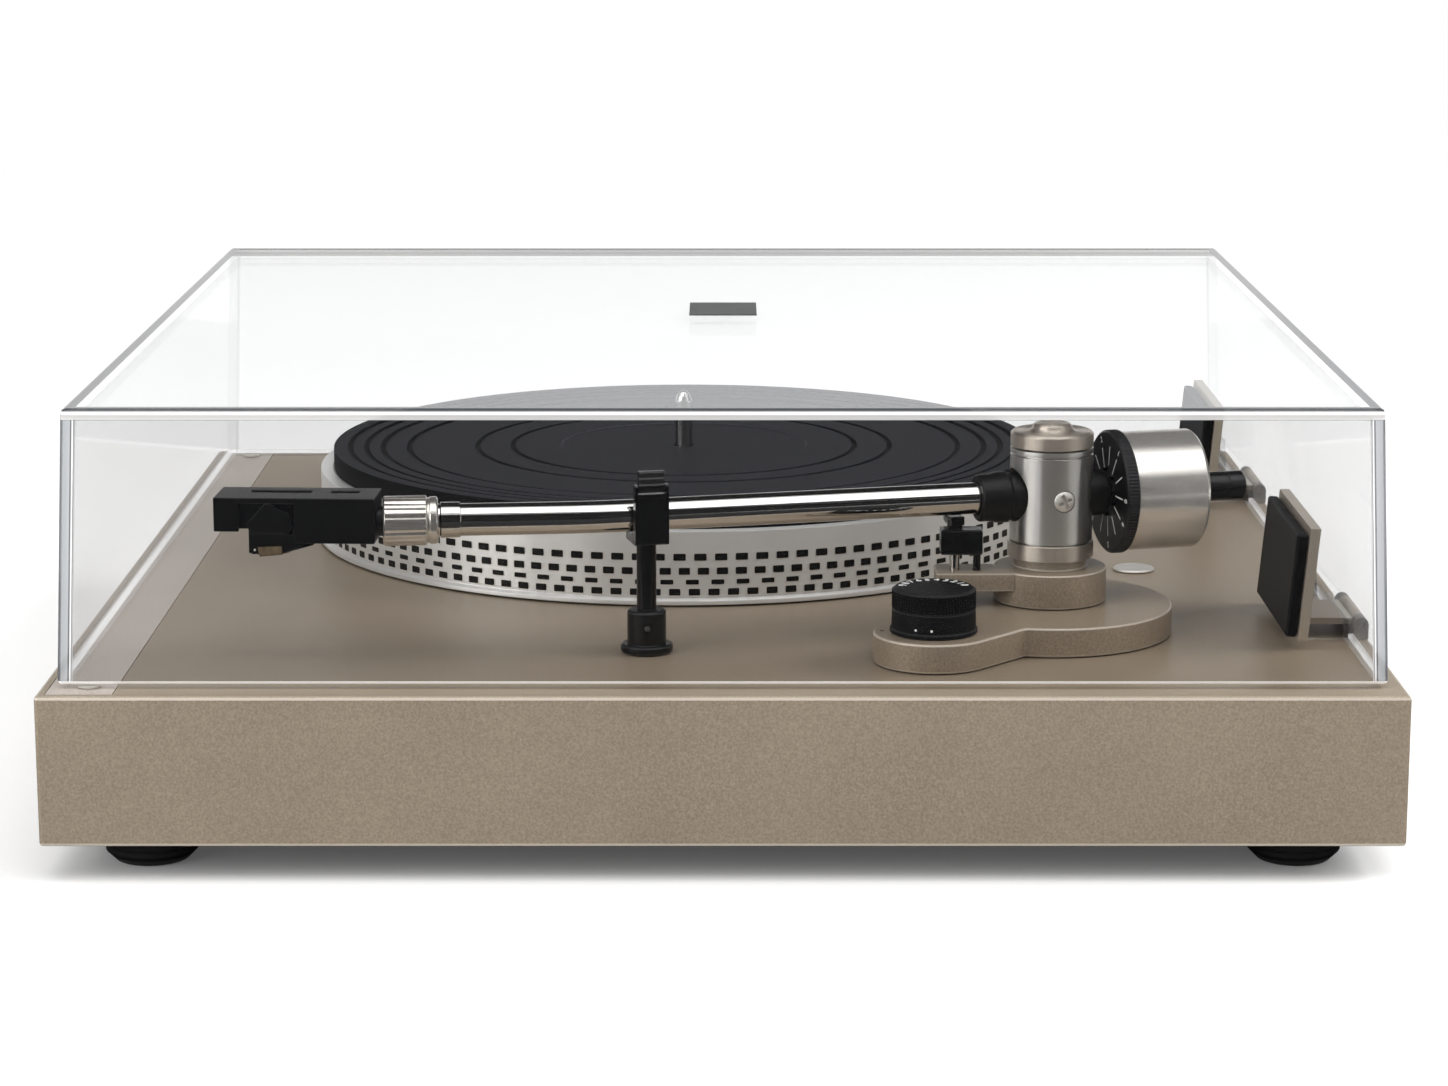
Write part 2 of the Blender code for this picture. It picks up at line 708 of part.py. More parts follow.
def gear_outline(teeth, count, first):
    """Teeth with involute flanks, as many as are counted, starting from the angle of the first one."""
    pitch_radius = GEAR_MODULE * teeth / 2
    base_radius = pitch_radius * math.cos(PRESSURE_ANGLE)
    tip_radius = pitch_radius + ADDENDUM_SHARE * GEAR_MODULE
    root_radius = pitch_radius - DEDENDUM_SHARE * GEAR_MODULE
    half_tooth = math.pi / teeth * (0.5 - BACKLASH_SHARE)
    start_radius = max(base_radius, root_radius)

    def flank(radius):
        roll = math.sqrt(max((radius / base_radius) ** 2 - 1, 0.0))
        return roll - math.atan(roll)

    at_pitch = flank(pitch_radius)
    rise = (tip_radius - start_radius) / FLANK_STEPS
    radii = [start_radius + rise * step for step in range(FLANK_STEPS + 1)]
    points = []
    for number in range(count):
        middle = first + 2 * math.pi * number / teeth
        rising = [(r, middle - half_tooth - at_pitch + flank(r)) for r in radii]
        falling = [(r, 2 * middle - angle) for r, angle in reversed(rising)]
        side = [(root_radius, rising[0][1])] + rising + falling + [(root_radius, falling[-1][1])]
        points += [(r * math.cos(a), r * math.sin(a)) for r, a in side]
    return points


def build_plinth(colours):
    """The hollow shell, with the openings that the other pieces sit in."""
    size = (PLINTH_WIDTH, PLINTH_DEPTH, PLINTH_HEIGHT)
    shell = piece("plinth_shell", box_shape(size, (0, 0, MID_HEIGHT), PLINTH_EDGE), colours["champagne"])
    hollow_low = FOOT_HEIGHT - OVERRUN
    hollow_size = (INSIDE_WIDTH, INSIDE_DEPTH, UNDER_DECK - hollow_low)
    hollow = box_shape(hollow_size, (0, 0, (UNDER_DECK + hollow_low) / 2))
    cut(shell, piece("plinth_hollow", hollow))
    cut_rear_opening(shell)
    cut_deck_holes(shell)
    build_strip(shell, colours)
    build_keys(shell, colours)


def cut_rear_opening(shell):
    """The opening in the back wall that the rear panel closes from inside."""
    size = (PANEL_WIDTH, PLINTH_WALL + 2 * OVERRUN, PANEL_HEIGHT)
    opening = box_shape(size, (PANEL_LEFT + PANEL_WIDTH / 2, BACK - PLINTH_WALL / 2, MID_HEIGHT))
    cut(shell, piece("rear_opening", opening))


def cut_deck_holes(shell):
    """Round holes in the deck for the bearing, the arm's sleeve, the lifter and the transit screw."""
    holes = {
        "bearing": (BEARING_RADIUS, PLATTER_X, PLATTER_Y),
        "sleeve": (SLEEVE_RADIUS, PIVOT_X, PIVOT_Y),
        "lifter": (LIFT_SHAFT_RADIUS, LIFTER_X, LIFTER_Y),
        "transit": (TRANSIT_STUD_RADIUS, TRANSIT_X, TRANSIT_Y),
    }
    for name, (radius, x, y) in holes.items():
        drill = rod_shape(radius + GAP, UNDER_DECK - OVERRUN, DECK + OVERRUN, ROD_SIDES, x, y)
        cut(shell, piece(f"{name}_hole", drill))


def build_strip(shell, colours):
    """The trim strip along the deck's front edge, sunk flush in the shell."""
    length = PLINTH_WIDTH - 2 * STRIP_EDGE
    y = STRIP_EDGE + STRIP_WIDTH / 2 - BACK
    recess_size = (length, STRIP_WIDTH, STRIP_RECESS + OVERRUN)
    recess = box_shape(recess_size, (0, y, DECK + (OVERRUN - STRIP_RECESS) / 2))
    cut(shell, piece("strip_recess", recess))
    size = (length - 2 * GAP, STRIP_WIDTH - 2 * GAP, STRIP_RECESS - GAP)
    piece("front_strip", box_shape(size, (0, y, DECK - size[2] / 2)), colours["strip"])


def build_keys(shell, colours):
    """Push keys in a shallow recess of the front wall, each with a flange behind the wall."""
    row_length = (len(KEY_NAMES) - 1) * KEY_PITCH
    row_x = RIGHT - KEY_ROW_INSET - row_length / 2
    recess_size = (
        row_length + KEY_WIDTH + 2 * KEY_RECESS_MARGIN,
        KEY_RECESS_DEPTH + OVERRUN,
        KEY_HEIGHT + 2 * KEY_RECESS_MARGIN,
    )
    recess = box_shape(recess_size, (row_x, (KEY_RECESS_DEPTH - OVERRUN) / 2 - BACK, MID_HEIGHT))
    cut(shell, piece("key_recess", recess))
    for number, name in enumerate(KEY_NAMES):
        build_key(shell, name, row_x - row_length / 2 + number * KEY_PITCH, colours)


def build_key(shell, name, x, colours):
    """One key on its sliding axis, and its slot in the wall."""
    wall_front = KEY_RECESS_DEPTH - BACK
    wall_back = PLINTH_WALL - BACK
    key_front = KEY_FRONT_SET - BACK
    axis = empty(f"{name}_slide", (x, key_front, MID_HEIGHT))
    bar = box_shape((KEY_WIDTH, KEY_LENGTH, KEY_HEIGHT), (0, KEY_LENGTH / 2, 0), KEY_EDGE)
    key = piece(name, bar, colours["key"], axis)
    flange_size = (KEY_WIDTH + KEY_FLANGE, KEY_FLANGE_THICKNESS, KEY_HEIGHT + KEY_FLANGE)
    flange_y = wall_back + GAP + KEY_FLANGE_THICKNESS / 2 - key_front
    join(key, piece(f"{name}_flange", box_shape(flange_size, (0, flange_y, 0)), parent=axis))
    slot_size = (
        KEY_WIDTH + 2 * KEY_PLAY,
        wall_back - wall_front + 2 * OVERRUN,
        KEY_HEIGHT + 2 * KEY_PLAY,
    )
    slot = box_shape(slot_size, (x, (wall_front + wall_back) / 2, MID_HEIGHT))
    cut(shell, piece(f"{name}_slot", slot))


def build_bottom(colours):
    """Bottom cover with a row of vents under the transformer."""
    size = (INSIDE_WIDTH - 2 * GAP, INSIDE_DEPTH - 2 * GAP, BOTTOM_THICKNESS)
    sheet = box_shape(size, (0, 0, FOOT_HEIGHT + BOTTOM_THICKNESS / 2))
    cover = piece("bottom_cover", sheet, colours["socket"])
    first_x = TRANSFORMER_X - VENT_PITCH * (VENT_COUNT - 1) / 2
    outline = stadium(VENT_WIDTH / 2, -VENT_LENGTH / 2, VENT_LENGTH / 2, VENT_ARC_POINTS)
    for number in range(VENT_COUNT):
        vent = prism_shape(outline, FOOT_HEIGHT - OVERRUN, INSIDE_FLOOR + OVERRUN)
        cut(cover, piece("vent", vent, place=(first_x + number * VENT_PITCH, TRANSFORMER_Y, 0)))


def build_feet(colours):
    """Four rubber feet, one near each corner."""
    foot = [
        (0, FOOT_HEIGHT - GAP),
        (FOOT_NECK_RADIUS, FOOT_HEIGHT - GAP),
        (FOOT_RADIUS, FOOT_HEIGHT - FOOT_NECK_HEIGHT),
        (FOOT_RADIUS, FOOT_CHAMFER),
        (FOOT_SOLE_RADIUS, 0),
        (0, 0),
    ]
    for side_y, row in ((-1, "front"), (1, "back")):
        for side_x, end in ((-1, "left"), (1, "right")):
            place = (side_x * (RIGHT - FOOT_INSET_X), side_y * (BACK - FOOT_INSET_Y), 0)
            piece(f"foot_{row}_{end}", turned_shape(foot, TURNED_SIDES), colours["rubber"], place=place)


def build_rear(colours):
    """Rear panel behind its opening, with what sits on it."""
    size = (PANEL_WIDTH + 2 * PANEL_FLANGE, PANEL_THICKNESS, PANEL_HEIGHT + 2 * PANEL_FLANGE)
    place = (PANEL_LEFT + PANEL_WIDTH / 2, PANEL_FACE - PANEL_THICKNESS / 2, MID_HEIGHT)
    panel = piece("rear_panel", box_shape(size, place), colours["steel"])
    build_phono_sockets(colours)
    build_ground_post(panel, colours)
    build_inlet(panel, colours)


def build_phono_sockets(colours):
    """A plate with a pair of round sockets, on the panel's face."""
    middle_x = PANEL_LEFT + PANEL_WIDTH * (1 - SOCKET_PLACE_SHARE)
    y = PANEL_FACE + GAP + SOCKET_PLATE / 2
    size = (SOCKET_SPACING + 2 * (SOCKET_RADIUS + GAP), SOCKET_PLATE, 2 * SOCKET_PLATE_MARGIN)
    sockets = piece("phono_sockets", box_shape(size, (middle_x, y, MID_HEIGHT)), colours["socket"])
    for side in (-1, 1):
        place = (middle_x + side * SOCKET_SPACING / 2, y, MID_HEIGHT)
        barrel = rod_shape(SOCKET_RADIUS, 0, SOCKET_LENGTH, BORE_SIDES)
        bore = rod_shape(SOCKET_BORE, SOCKET_PLATE / 2, SOCKET_LENGTH + OVERRUN, SMALL_SIDES)
        join(sockets, piece(f"socket_barrel_{side}", barrel, place=place, turn=BACKWARDS))
        cut(sockets, piece(f"socket_bore_{side}", bore, place=place, turn=BACKWARDS))


def build_ground_post(panel, colours):
    """The screw post for a ground wire, through the panel."""
    behind = -PANEL_THICKNESS - OVERRUN
    profile = [
        (0, SOCKET_LENGTH),
        (GROUND_KNOB_RADIUS, SOCKET_LENGTH),
        (GROUND_KNOB_RADIUS, GAP),
        (GROUND_POST_RADIUS, GAP),
        (GROUND_POST_RADIUS, behind),
        (0, behind),
    ]
    place = (PANEL_LEFT + PANEL_WIDTH * (1 - GROUND_PLACE_SHARE), PANEL_FACE, MID_HEIGHT)
    post = turned_shape(profile, ROD_SIDES)
    piece("ground_post", post, colours["bright"], place=place, turn=BACKWARDS)
    hole = rod_shape(GROUND_POST_RADIUS + GAP, behind, OVERRUN, BORE_SIDES)
    cut(panel, piece("ground_hole", hole, place=place, turn=BACKWARDS))


def build_inlet(panel, colours):
    """The mains inlet, a well with two pins."""
    x = PANEL_LEFT + PANEL_WIDTH * (1 - INLET_PLACE_SHARE)
    front = BACK - KEY_FRONT_SET
    body = box_shape((INLET_WIDTH, INLET_DEPTH, INLET_HEIGHT), (x, front - INLET_DEPTH / 2, MID_HEIGHT))
    inlet = piece("mains_inlet", body, colours["socket"])
    well_size = (INLET_WIDTH - 2 * INLET_WALL, INLET_WELL + OVERRUN, INLET_HEIGHT - 2 * INLET_WALL)
    well = box_shape(well_size, (x, front + (OVERRUN - INLET_WELL) / 2, MID_HEIGHT))
    cut(inlet, piece("inlet_well", well))
    for side in (-1, 1):
        place = (x + side * INLET_PIN_SPACING / 2, front - INLET_WELL, MID_HEIGHT)
        pin = rod_shape(INLET_PIN_RADIUS, -INLET_WALL, INLET_PIN_LENGTH, SMALL_SIDES)
        join(inlet, piece(f"inlet_pin_{side}", pin, place=place, turn=BACKWARDS))
    hole_size = (INLET_WIDTH + 2 * GAP, PANEL_THICKNESS + 2 * OVERRUN, INLET_HEIGHT + 2 * GAP)
    hole = box_shape(hole_size, (x, PANEL_FACE - PANEL_THICKNESS / 2, MID_HEIGHT))
    cut(panel, piece("inlet_hole", hole))


def build_transformer(colours):
    """Iron core with its coil, on the bottom cover."""
    place = (TRANSFORMER_X, TRANSFORMER_Y, INSIDE_FLOOR + GAP + CORE_HEIGHT / 2)
    core = piece("transformer", box_shape((CORE_LENGTH, CORE_WIDTH, CORE_HEIGHT), place), colours["steel"])
    coil = box_shape((COIL_LENGTH, COIL_WIDTH, COIL_HEIGHT), place, COIL_EDGE)
    join(core, piece("transformer_coil", coil))


def build_board(colours):
    """Circuit board on four legs, with two capacitors."""
    x = BOARD_INSET_X - RIGHT
    y = BOARD_INSET_Y - BACK
    floor = INSIDE_FLOOR + GAP
    middle = floor + BOARD_LEG_HEIGHT + BOARD_THICKNESS / 2
    sheet = box_shape((BOARD_LENGTH, BOARD_WIDTH, BOARD_THICKNESS), (x, y, middle))
    board = piece("circuit_board", sheet, colours["board"])
    for side_x in (-1, 1):
        for side_y in (-1, 1):
            leg_x = x + side_x * (BOARD_LENGTH / 2 - BOARD_LEG_INSET)
            leg_y = y + side_y * (BOARD_WIDTH / 2 - BOARD_LEG_INSET)
            leg = rod_shape(BOARD_LEG_RADIUS, floor, middle, SMALL_SIDES, leg_x, leg_y)
            join(board, piece("board_leg", leg))
        can_x = x + side_x * CAPACITOR_SPACING / 2
        can_top = floor + BOARD_LEG_HEIGHT + CAPACITOR_HEIGHT
        join(board, piece("capacitor", rod_shape(CAPACITOR_RADIUS, middle, can_top, BORE_SIDES, can_x, y)))


def build_bearing(seat, colours):
    """Bearing housing with a flange over the stator, closed at the bottom."""
    flange_low = STATOR_PLATE + 2 * GAP
    flange_high = flange_low + BEARING_FLANGE_THICKNESS
    profile = [
        (0, BEARING_FLOOR - BEARING_BELOW_DECK),
        (SPINDLE_BORE, BEARING_FLOOR - BEARING_BELOW_DECK),
        (SPINDLE_BORE, HUB_BOTTOM - GAP),
        (BEARING_RADIUS, HUB_BOTTOM - GAP),
        (BEARING_RADIUS, flange_high),
        (BEARING_FLANGE_RADIUS, flange_high),
        (BEARING_FLANGE_RADIUS, flange_low),
        (BEARING_RADIUS, flange_low),
        (BEARING_RADIUS, -BEARING_BELOW_DECK),
        (0, -BEARING_BELOW_DECK),
    ]
    piece("bearing_housing", turned_shape(profile, TURNED_SIDES), colours["brass"], seat)


def build_stator(seat, colours):
    """Stator plate on the deck, with poles that widen outwards."""
    pole_top = STATOR_PLATE + POLE_HEIGHT
    plate = rod_shape(STATOR_RADIUS, GAP, GAP + STATOR_PLATE, LARGE_SIDES)
    stator = piece("motor_stator", plate, colours["steel"], seat)
    pitch = 2 * math.pi / STATOR_POLES
    outline = []
    for number in range(STATOR_POLES):
        for side in (-1, 1):
            root = (POLE_ROOT_RADIUS, pitch * (number + side * POLE_ROOT_SHARE))
            tip = (POLE_OUTER_RADIUS, pitch * (number + side * POLE_TIP_SHARE))
            outline += [root, tip][::-side]
    outline = [(r * math.cos(a), r * math.sin(a)) for r, a in outline]
    poles = prism_shape(outline, GAP + STATOR_PLATE / 2, pole_top)
    join(stator, piece("stator_poles", poles, parent=seat))
    over_flange = rod_shape(BEARING_FLANGE_RADIUS + GAP, GAP + STATOR_PLATE, pole_top + OVERRUN, TURNED_SIDES)
    bore = rod_shape(BEARING_RADIUS + GAP, -OVERRUN, pole_top + OVERRUN, TURNED_SIDES)
    cut(stator, piece("flange_clearance", over_flange, parent=seat), piece("stator_bore", bore, parent=seat))


def build_platter(axis, colours):
    """Cast platter with its hub, its tall rim and the lip at the rim's foot."""
    skirt = PLATTER_RADIUS - SKIRT_WALL
    recess = PLATTER_RADIUS - MAT_EDGE
    lip_top = PLATTER_FLOAT + FLANGE_THICKNESS
    profile = [
        (PLATTER_RADIUS - RIM_ROUNDING, RIM_TOP),
        (PLATTER_RADIUS, RIM_TOP - RIM_ROUNDING),
        (PLATTER_RADIUS, lip_top),
        (PLATTER_RADIUS + FLANGE_LIP, lip_top),
        (PLATTER_RADIUS + FLANGE_LIP, PLATTER_FLOAT),
        (skirt, PLATTER_FLOAT),
        (skirt, PLATE_UNDERSIDE),
        (HUB_RADIUS, PLATE_UNDERSIDE),
        (HUB_RADIUS, HUB_BOTTOM),
        (SPINDLE_BORE, HUB_BOTTOM),
        (SPINDLE_BORE, MAT_FLOOR),
        (recess, MAT_FLOOR),
        (recess, RIM_TOP),
    ]
    piece("platter", turned_shape(profile, RIM_SIDES), colours["platter"], axis)


def build_mat(axis, colours):
    """Rubber mat whose top steps down inwards, with a groove at each step."""
    profile = [(MAT_RADIUS, MAT_FLOOR + GAP), (SPINDLE_BORE, MAT_FLOOR + GAP)]
    profile.append((SPINDLE_BORE, MAT_TOP - MAT_TERRACE_SHARES[-1] * MAT_STEP))
    for number in reversed(range(len(MAT_GROOVE_SHARES))):
        groove = MAT_RADIUS * MAT_GROOVE_SHARES[number]
        inner = MAT_TOP - MAT_TERRACE_SHARES[number + 1] * MAT_STEP
        outer = MAT_TOP - MAT_TERRACE_SHARES[number] * MAT_STEP
        profile.append((groove - MAT_GROOVE_WIDTH / 2, inner))
        profile.append((groove, inner - MAT_STEP))
        profile.append((groove + MAT_GROOVE_WIDTH / 2, outer))
    profile.append((MAT_RADIUS - MAT_STEP, MAT_TOP))
    profile.append((MAT_RADIUS, MAT_TOP - MAT_STEP))
    piece("platter_mat", turned_shape(profile, MAT_SIDES), colours["mat"], axis)


def build_spindle(axis, colours):
    """Spindle with a domed end, down to the floor of its bearing."""
    top = MAT_TOP + SPINDLE_RISE
    foot = BEARING_FLOOR + GAP - BEARING_BELOW_DECK
    profile = [(0, top)]
    for out_share, drop_share in SPINDLE_DOME_SHARES:
        profile.append((SPINDLE_RADIUS * out_share, top - SPINDLE_RADIUS * drop_share))
    profile += [(SPINDLE_RADIUS, foot), (0, foot)]
    piece("spindle", turned_shape(profile, ROD_SIDES), colours["bright"], axis)


def build_magnet(axis, colours):
    """Magnet ring under the platter, round the stator's poles."""
    low = STATOR_PLATE + GAP + MAGNET_LIFT
    profile = [
        (MAGNET_INNER_RADIUS, PLATE_UNDERSIDE - GAP),
        (MAGNET_OUTER_RADIUS, PLATE_UNDERSIDE - GAP),
        (MAGNET_OUTER_RADIUS, low),
        (MAGNET_INNER_RADIUS, low),
    ]
    piece("rotor_magnet", turned_shape(profile, LARGE_SIDES), colours["magnet"], axis)


def build_arm_base(colours):
    """The casting on the deck, a round with a smaller lobe for the knob."""
    seat = empty("arm_base_seat", (PIVOT_X + BASE_SET_X, PIVOT_Y + BASE_SET_Y, DECK), (0, 0, LOBE_BEARING))
    crease = math.asin(LOBE_RADIUS / BASE_RADIUS)
    outline = arc((LOBE_DISTANCE, 0), LOBE_RADIUS, -math.pi / 2, math.pi / 2, LOBE_ARC_POINTS)
    outline += arc((0, 0), BASE_RADIUS, crease, 2 * math.pi - crease, BASE_ARC_POINTS)
    block = prism_shape(outline, GAP, BASE_HEIGHT, top_edge=BASE_EDGE)
    base = piece("arm_base", block, colours["champagne"], seat)
    low = DECK - OVERRUN
    high = DECK + BASE_HEIGHT + OVERRUN
    stem_low = DECK + BASE_HEIGHT - KNOB_STEM_LENGTH
    sleeve = rod_shape(SLEEVE_RADIUS + GAP, low, high, ROD_SIDES, PIVOT_X, PIVOT_Y)
    shaft = rod_shape(LIFT_SHAFT_RADIUS + GAP, low, high, SMALL_SIDES, LIFTER_X, LIFTER_Y)
    stem = rod_shape(KNOB_STEM_RADIUS + GAP, stem_low, high, ROD_SIDES, LOBE_X, LOBE_Y)
    cut(base, piece("sleeve_bore", sleeve), piece("lifter_bore", shaft), piece("knob_bore", stem))


def build_collar(seat, colours):
    """The fixed collar under the pillar, with its sleeve through base and deck."""
    profile = [
        (ARM_SHAFT_BORE, COLLAR_NECK_TOP),
        (COLLAR_NECK_RADIUS, COLLAR_NECK_TOP),
        (COLLAR_NECK_RADIUS, COLLAR_TOP),
        (COLLAR_RADIUS - COLLAR_EDGE, COLLAR_TOP),
        (COLLAR_RADIUS, COLLAR_TOP - COLLAR_EDGE),
        (COLLAR_RADIUS, BASE_HEIGHT + GAP),
        (SLEEVE_RADIUS, BASE_HEIGHT + GAP),
        (SLEEVE_RADIUS, -SLEEVE_BELOW_DECK),
        (ARM_SHAFT_BORE, -SLEEVE_BELOW_DECK),
    ]
    piece("pivot_collar", turned_shape(profile, LARGE_SIDES), colours["champagne"], seat)


def build_bracket(seat, colours):
    """The lifter's bracket beside the collar, on a round boss."""
    low = COLLAR_TOP - LIFT_BRACKET_THICKNESS
    middle = (low + COLLAR_TOP) / 2
    length = LIFT_BRACKET_LENGTH + LIFT_BRACKET_OVERLAP
    y = -COLLAR_RADIUS * math.cos(ARM_YAW) + LIFT_BRACKET_OVERLAP - length / 2
    size = (LIFT_BRACKET_WIDTH, length, LIFT_BRACKET_THICKNESS)
    block = box_shape(size, (LIFT_BRACKET_SET, y, middle), COLLAR_EDGE)
    bracket = piece("lifter_bracket", block, colours["champagne"], seat)
    x, y = LIFTER_X - PIVOT_X, LIFTER_Y - PIVOT_Y
    boss = rod_shape(LIFT_BOSS_RADIUS, BASE_HEIGHT + GAP, middle, BORE_SIDES, x, y)
    join(bracket, piece("bracket_boss", boss, parent=seat))
    bores = {
        "seat": (COLLAR_RADIUS, LARGE_SIDES, 0, 0),
        "shaft": (LIFT_SHAFT_RADIUS, SMALL_SIDES, x, y),
        "leg": (LIFT_LEG_RADIUS, SMALL_SIDES, x, y + LIFT_LEG_SET),
    }
    for name, (radius, sides, bore_x, bore_y) in bores.items():
        start = BASE_HEIGHT if name == "shaft" else low
        bore = rod_shape(radius + GAP, start - OVERRUN, COLLAR_TOP + OVERRUN, sides, bore_x, bore_y)
        cut(bracket, piece(f"bracket_{name}_bore", bore, parent=seat))


def build_lifter(colours):
    """Arc, head, shaft and guide leg in one piece that rises under the tube."""
    axis = empty("lifter_axis", (PIVOT_X, PIVOT_Y, DECK))
    top = AXIS_HEIGHT + TUBE_UNDERSIDE - LIFT_PLAY
    start = ARM_YAW - math.pi / 2 + LIFT_LEAD
    end = ARM_YAW - math.pi / 2 - LIFT_ANGLE - LIFT_LEAD
    outline = arc((0, 0), LIFT_RADIUS + LIFT_WIDTH / 2, start, end, LIFT_ARC_POINTS)
    outline += arc((0, 0), LIFT_RADIUS - LIFT_WIDTH / 2, end, start, LIFT_ARC_POINTS)
    lifter = piece("cue_lifter", prism_shape(outline, top - LIFT_BAR, top), colours["black"], axis)
    x, y = LIFTER_X - PIVOT_X, LIFTER_Y - PIVOT_Y
    head_low = top - LIFT_HEAD_HEIGHT
    head_top = top - LIFT_BAR - LIFT_POST_HEIGHT
    middle = (head_low + head_top) / 2
    head_size = (LIFT_HEAD_WIDTH, LIFT_HEAD_LENGTH, head_top - head_low)
    head = box_shape(head_size, (x, y + LIFT_HEAD_SET, middle), LIFT_HEAD_EDGE)
    post = rod_shape(LIFT_POST_RADIUS, middle, top - LIFT_BAR / 2, BORE_SIDES, x, y)
    shaft = rod_shape(LIFT_SHAFT_RADIUS, -LIFT_SHAFT_BELOW_DECK, middle, SMALL_SIDES, x, y)
    leg_low = COLLAR_TOP - LIFT_BRACKET_THICKNESS / 2
    leg = rod_shape(LIFT_LEG_RADIUS, leg_low, middle, SMALL_SIDES, x, y + LIFT_LEG_SET)
    for name, shape in (("head", head), ("post", post), ("shaft", shaft), ("leg", leg)):
        join(lifter, piece(f"lifter_{name}", shape, parent=axis))


def build_pillar(swing, colours):
    """The turning pillar, a cup with two windows that the arm passes through."""
    ring_low = PILLAR_BOTTOM - PILLAR_RING_HEIGHT
    profile = [
        (PILLAR_BORE, PILLAR_TOP),
        (PILLAR_RADIUS, PILLAR_TOP),
        (PILLAR_RADIUS, PILLAR_BOTTOM),
        (PILLAR_RING_RADIUS, PILLAR_BOTTOM - GAP),
        (PILLAR_RING_RADIUS, ring_low),
        (ARM_SHAFT_BORE, ring_low),
        (ARM_SHAFT_BORE, PILLAR_BOTTOM + PILLAR_FLOOR),
        (PILLAR_BORE, PILLAR_BOTTOM + PILLAR_FLOOR),
    ]
    pillar = piece("pivot_pillar", turned_shape(profile, LARGE_SIDES), colours["brushed"], swing)
    rise = PILLAR_RADIUS * math.tan(TILT_RANGE)
    width = COUPLING_RADIUS + WINDOW_PLAY
    reach = PILLAR_RADIUS + OVERRUN
    front = prism_shape(stadium(width, AXIS_HEIGHT, AXIS_HEIGHT + rise), -reach, 0, along="Y")
    rear = prism_shape(stadium(width, AXIS_HEIGHT - rise, AXIS_HEIGHT), 0, reach, along="Y")
    cut(pillar, piece("front_window", front, parent=swing), piece("rear_window", rear, parent=swing))
    build_pivot_screws(pillar, swing, colours)
    build_cap(swing, colours)
    floor = PILLAR_BOTTOM + PILLAR_FLOOR
    shaft = rod_shape(SHAFT_RADIUS, -GEAR_BELOW_DECK - PINION_THICKNESS, floor, ROD_SIDES)
    piece("arm_shaft", shaft, colours["bright"], swing)


def build_pivot_screws(pillar, swing, colours):
    """Two screws with points, one in each side of the pillar, that the arm tilts between."""
    under_head = PILLAR_RADIUS - SCREW_HEAD_LENGTH
    profile = [
        (0, PILLAR_RADIUS + SCREW_PROUD),
        (SCREW_HEAD_RADIUS, PILLAR_RADIUS + SCREW_PROUD),
        (SCREW_HEAD_RADIUS, under_head),
        (SCREW_SHANK_RADIUS, under_head),
        (SCREW_SHANK_RADIUS, SCREW_REACH + SCREW_CONE),
        (0, SCREW_REACH),
    ]
    place = (0, 0, AXIS_HEIGHT)
    for name, side in (("pivot_screw_outer", 1), ("pivot_screw_inner", -1)):
        turn = (0, side * math.pi / 2, 0)
        piece(name, turned_shape(profile, ROD_SIDES), colours["screw"], swing, place, turn)
        hole = rod_shape(SCREW_HEAD_RADIUS + GAP, PILLAR_BORE - OVERRUN, PILLAR_RADIUS + OVERRUN, ROD_SIDES)
        cut(pillar, piece(f"{name}_hole", hole, parent=swing, place=place, turn=turn))


def build_cap(swing, colours):
    """The pillar's cap with its round boss."""
    low = PILLAR_TOP + GAP
    high = low + CAP_HEIGHT
    profile = [
        (0, high + BOSS_HEIGHT),
        (BOSS_RADIUS - BOSS_EDGE, high + BOSS_HEIGHT),
        (BOSS_RADIUS, high + BOSS_HEIGHT - BOSS_EDGE),
        (BOSS_RADIUS, high),
        (PILLAR_RADIUS - CAP_EDGE, high),
        (PILLAR_RADIUS, high - CAP_EDGE),
        (PILLAR_RADIUS, low),
        (PILLAR_BORE - GAP, low),
        (PILLAR_BORE - GAP, low - CAP_SPIGOT),
        (0, low - CAP_SPIGOT),
    ]
    piece("pillar_cap", turned_shape(profile, LARGE_SIDES), colours["satin"], swing)


def build_sector(swing, colours):
    """Toothed sector on the arm's shaft, under the deck."""
    low = -GEAR_BELOW_DECK
    pitch = 2 * math.pi / SECTOR_TEETH
    first = math.pi - ARM_YAW - SECTOR_LEAD_TEETH * pitch
    last = first + (SECTOR_CUT_TEETH - 1) * pitch
    outline = gear_outline(SECTOR_TEETH, SECTOR_CUT_TEETH, first)
    hub_start = last + math.pi / 2
    hub_end = first + 2 * math.pi - math.pi / 2
    outline += arc((0, 0), SECTOR_HUB_RADIUS, hub_start, hub_end, HUB_ARC_POINTS)
    sector = piece("return_sector", prism_shape(outline, low, low + GEAR_THICKNESS), colours["brass"], swing)
    bore = rod_shape(SHAFT_RADIUS + GAP, low - OVERRUN, low + GEAR_THICKNESS + OVERRUN, ROD_SIDES)
    cut(sector, piece("sector_bore", bore, parent=swing))


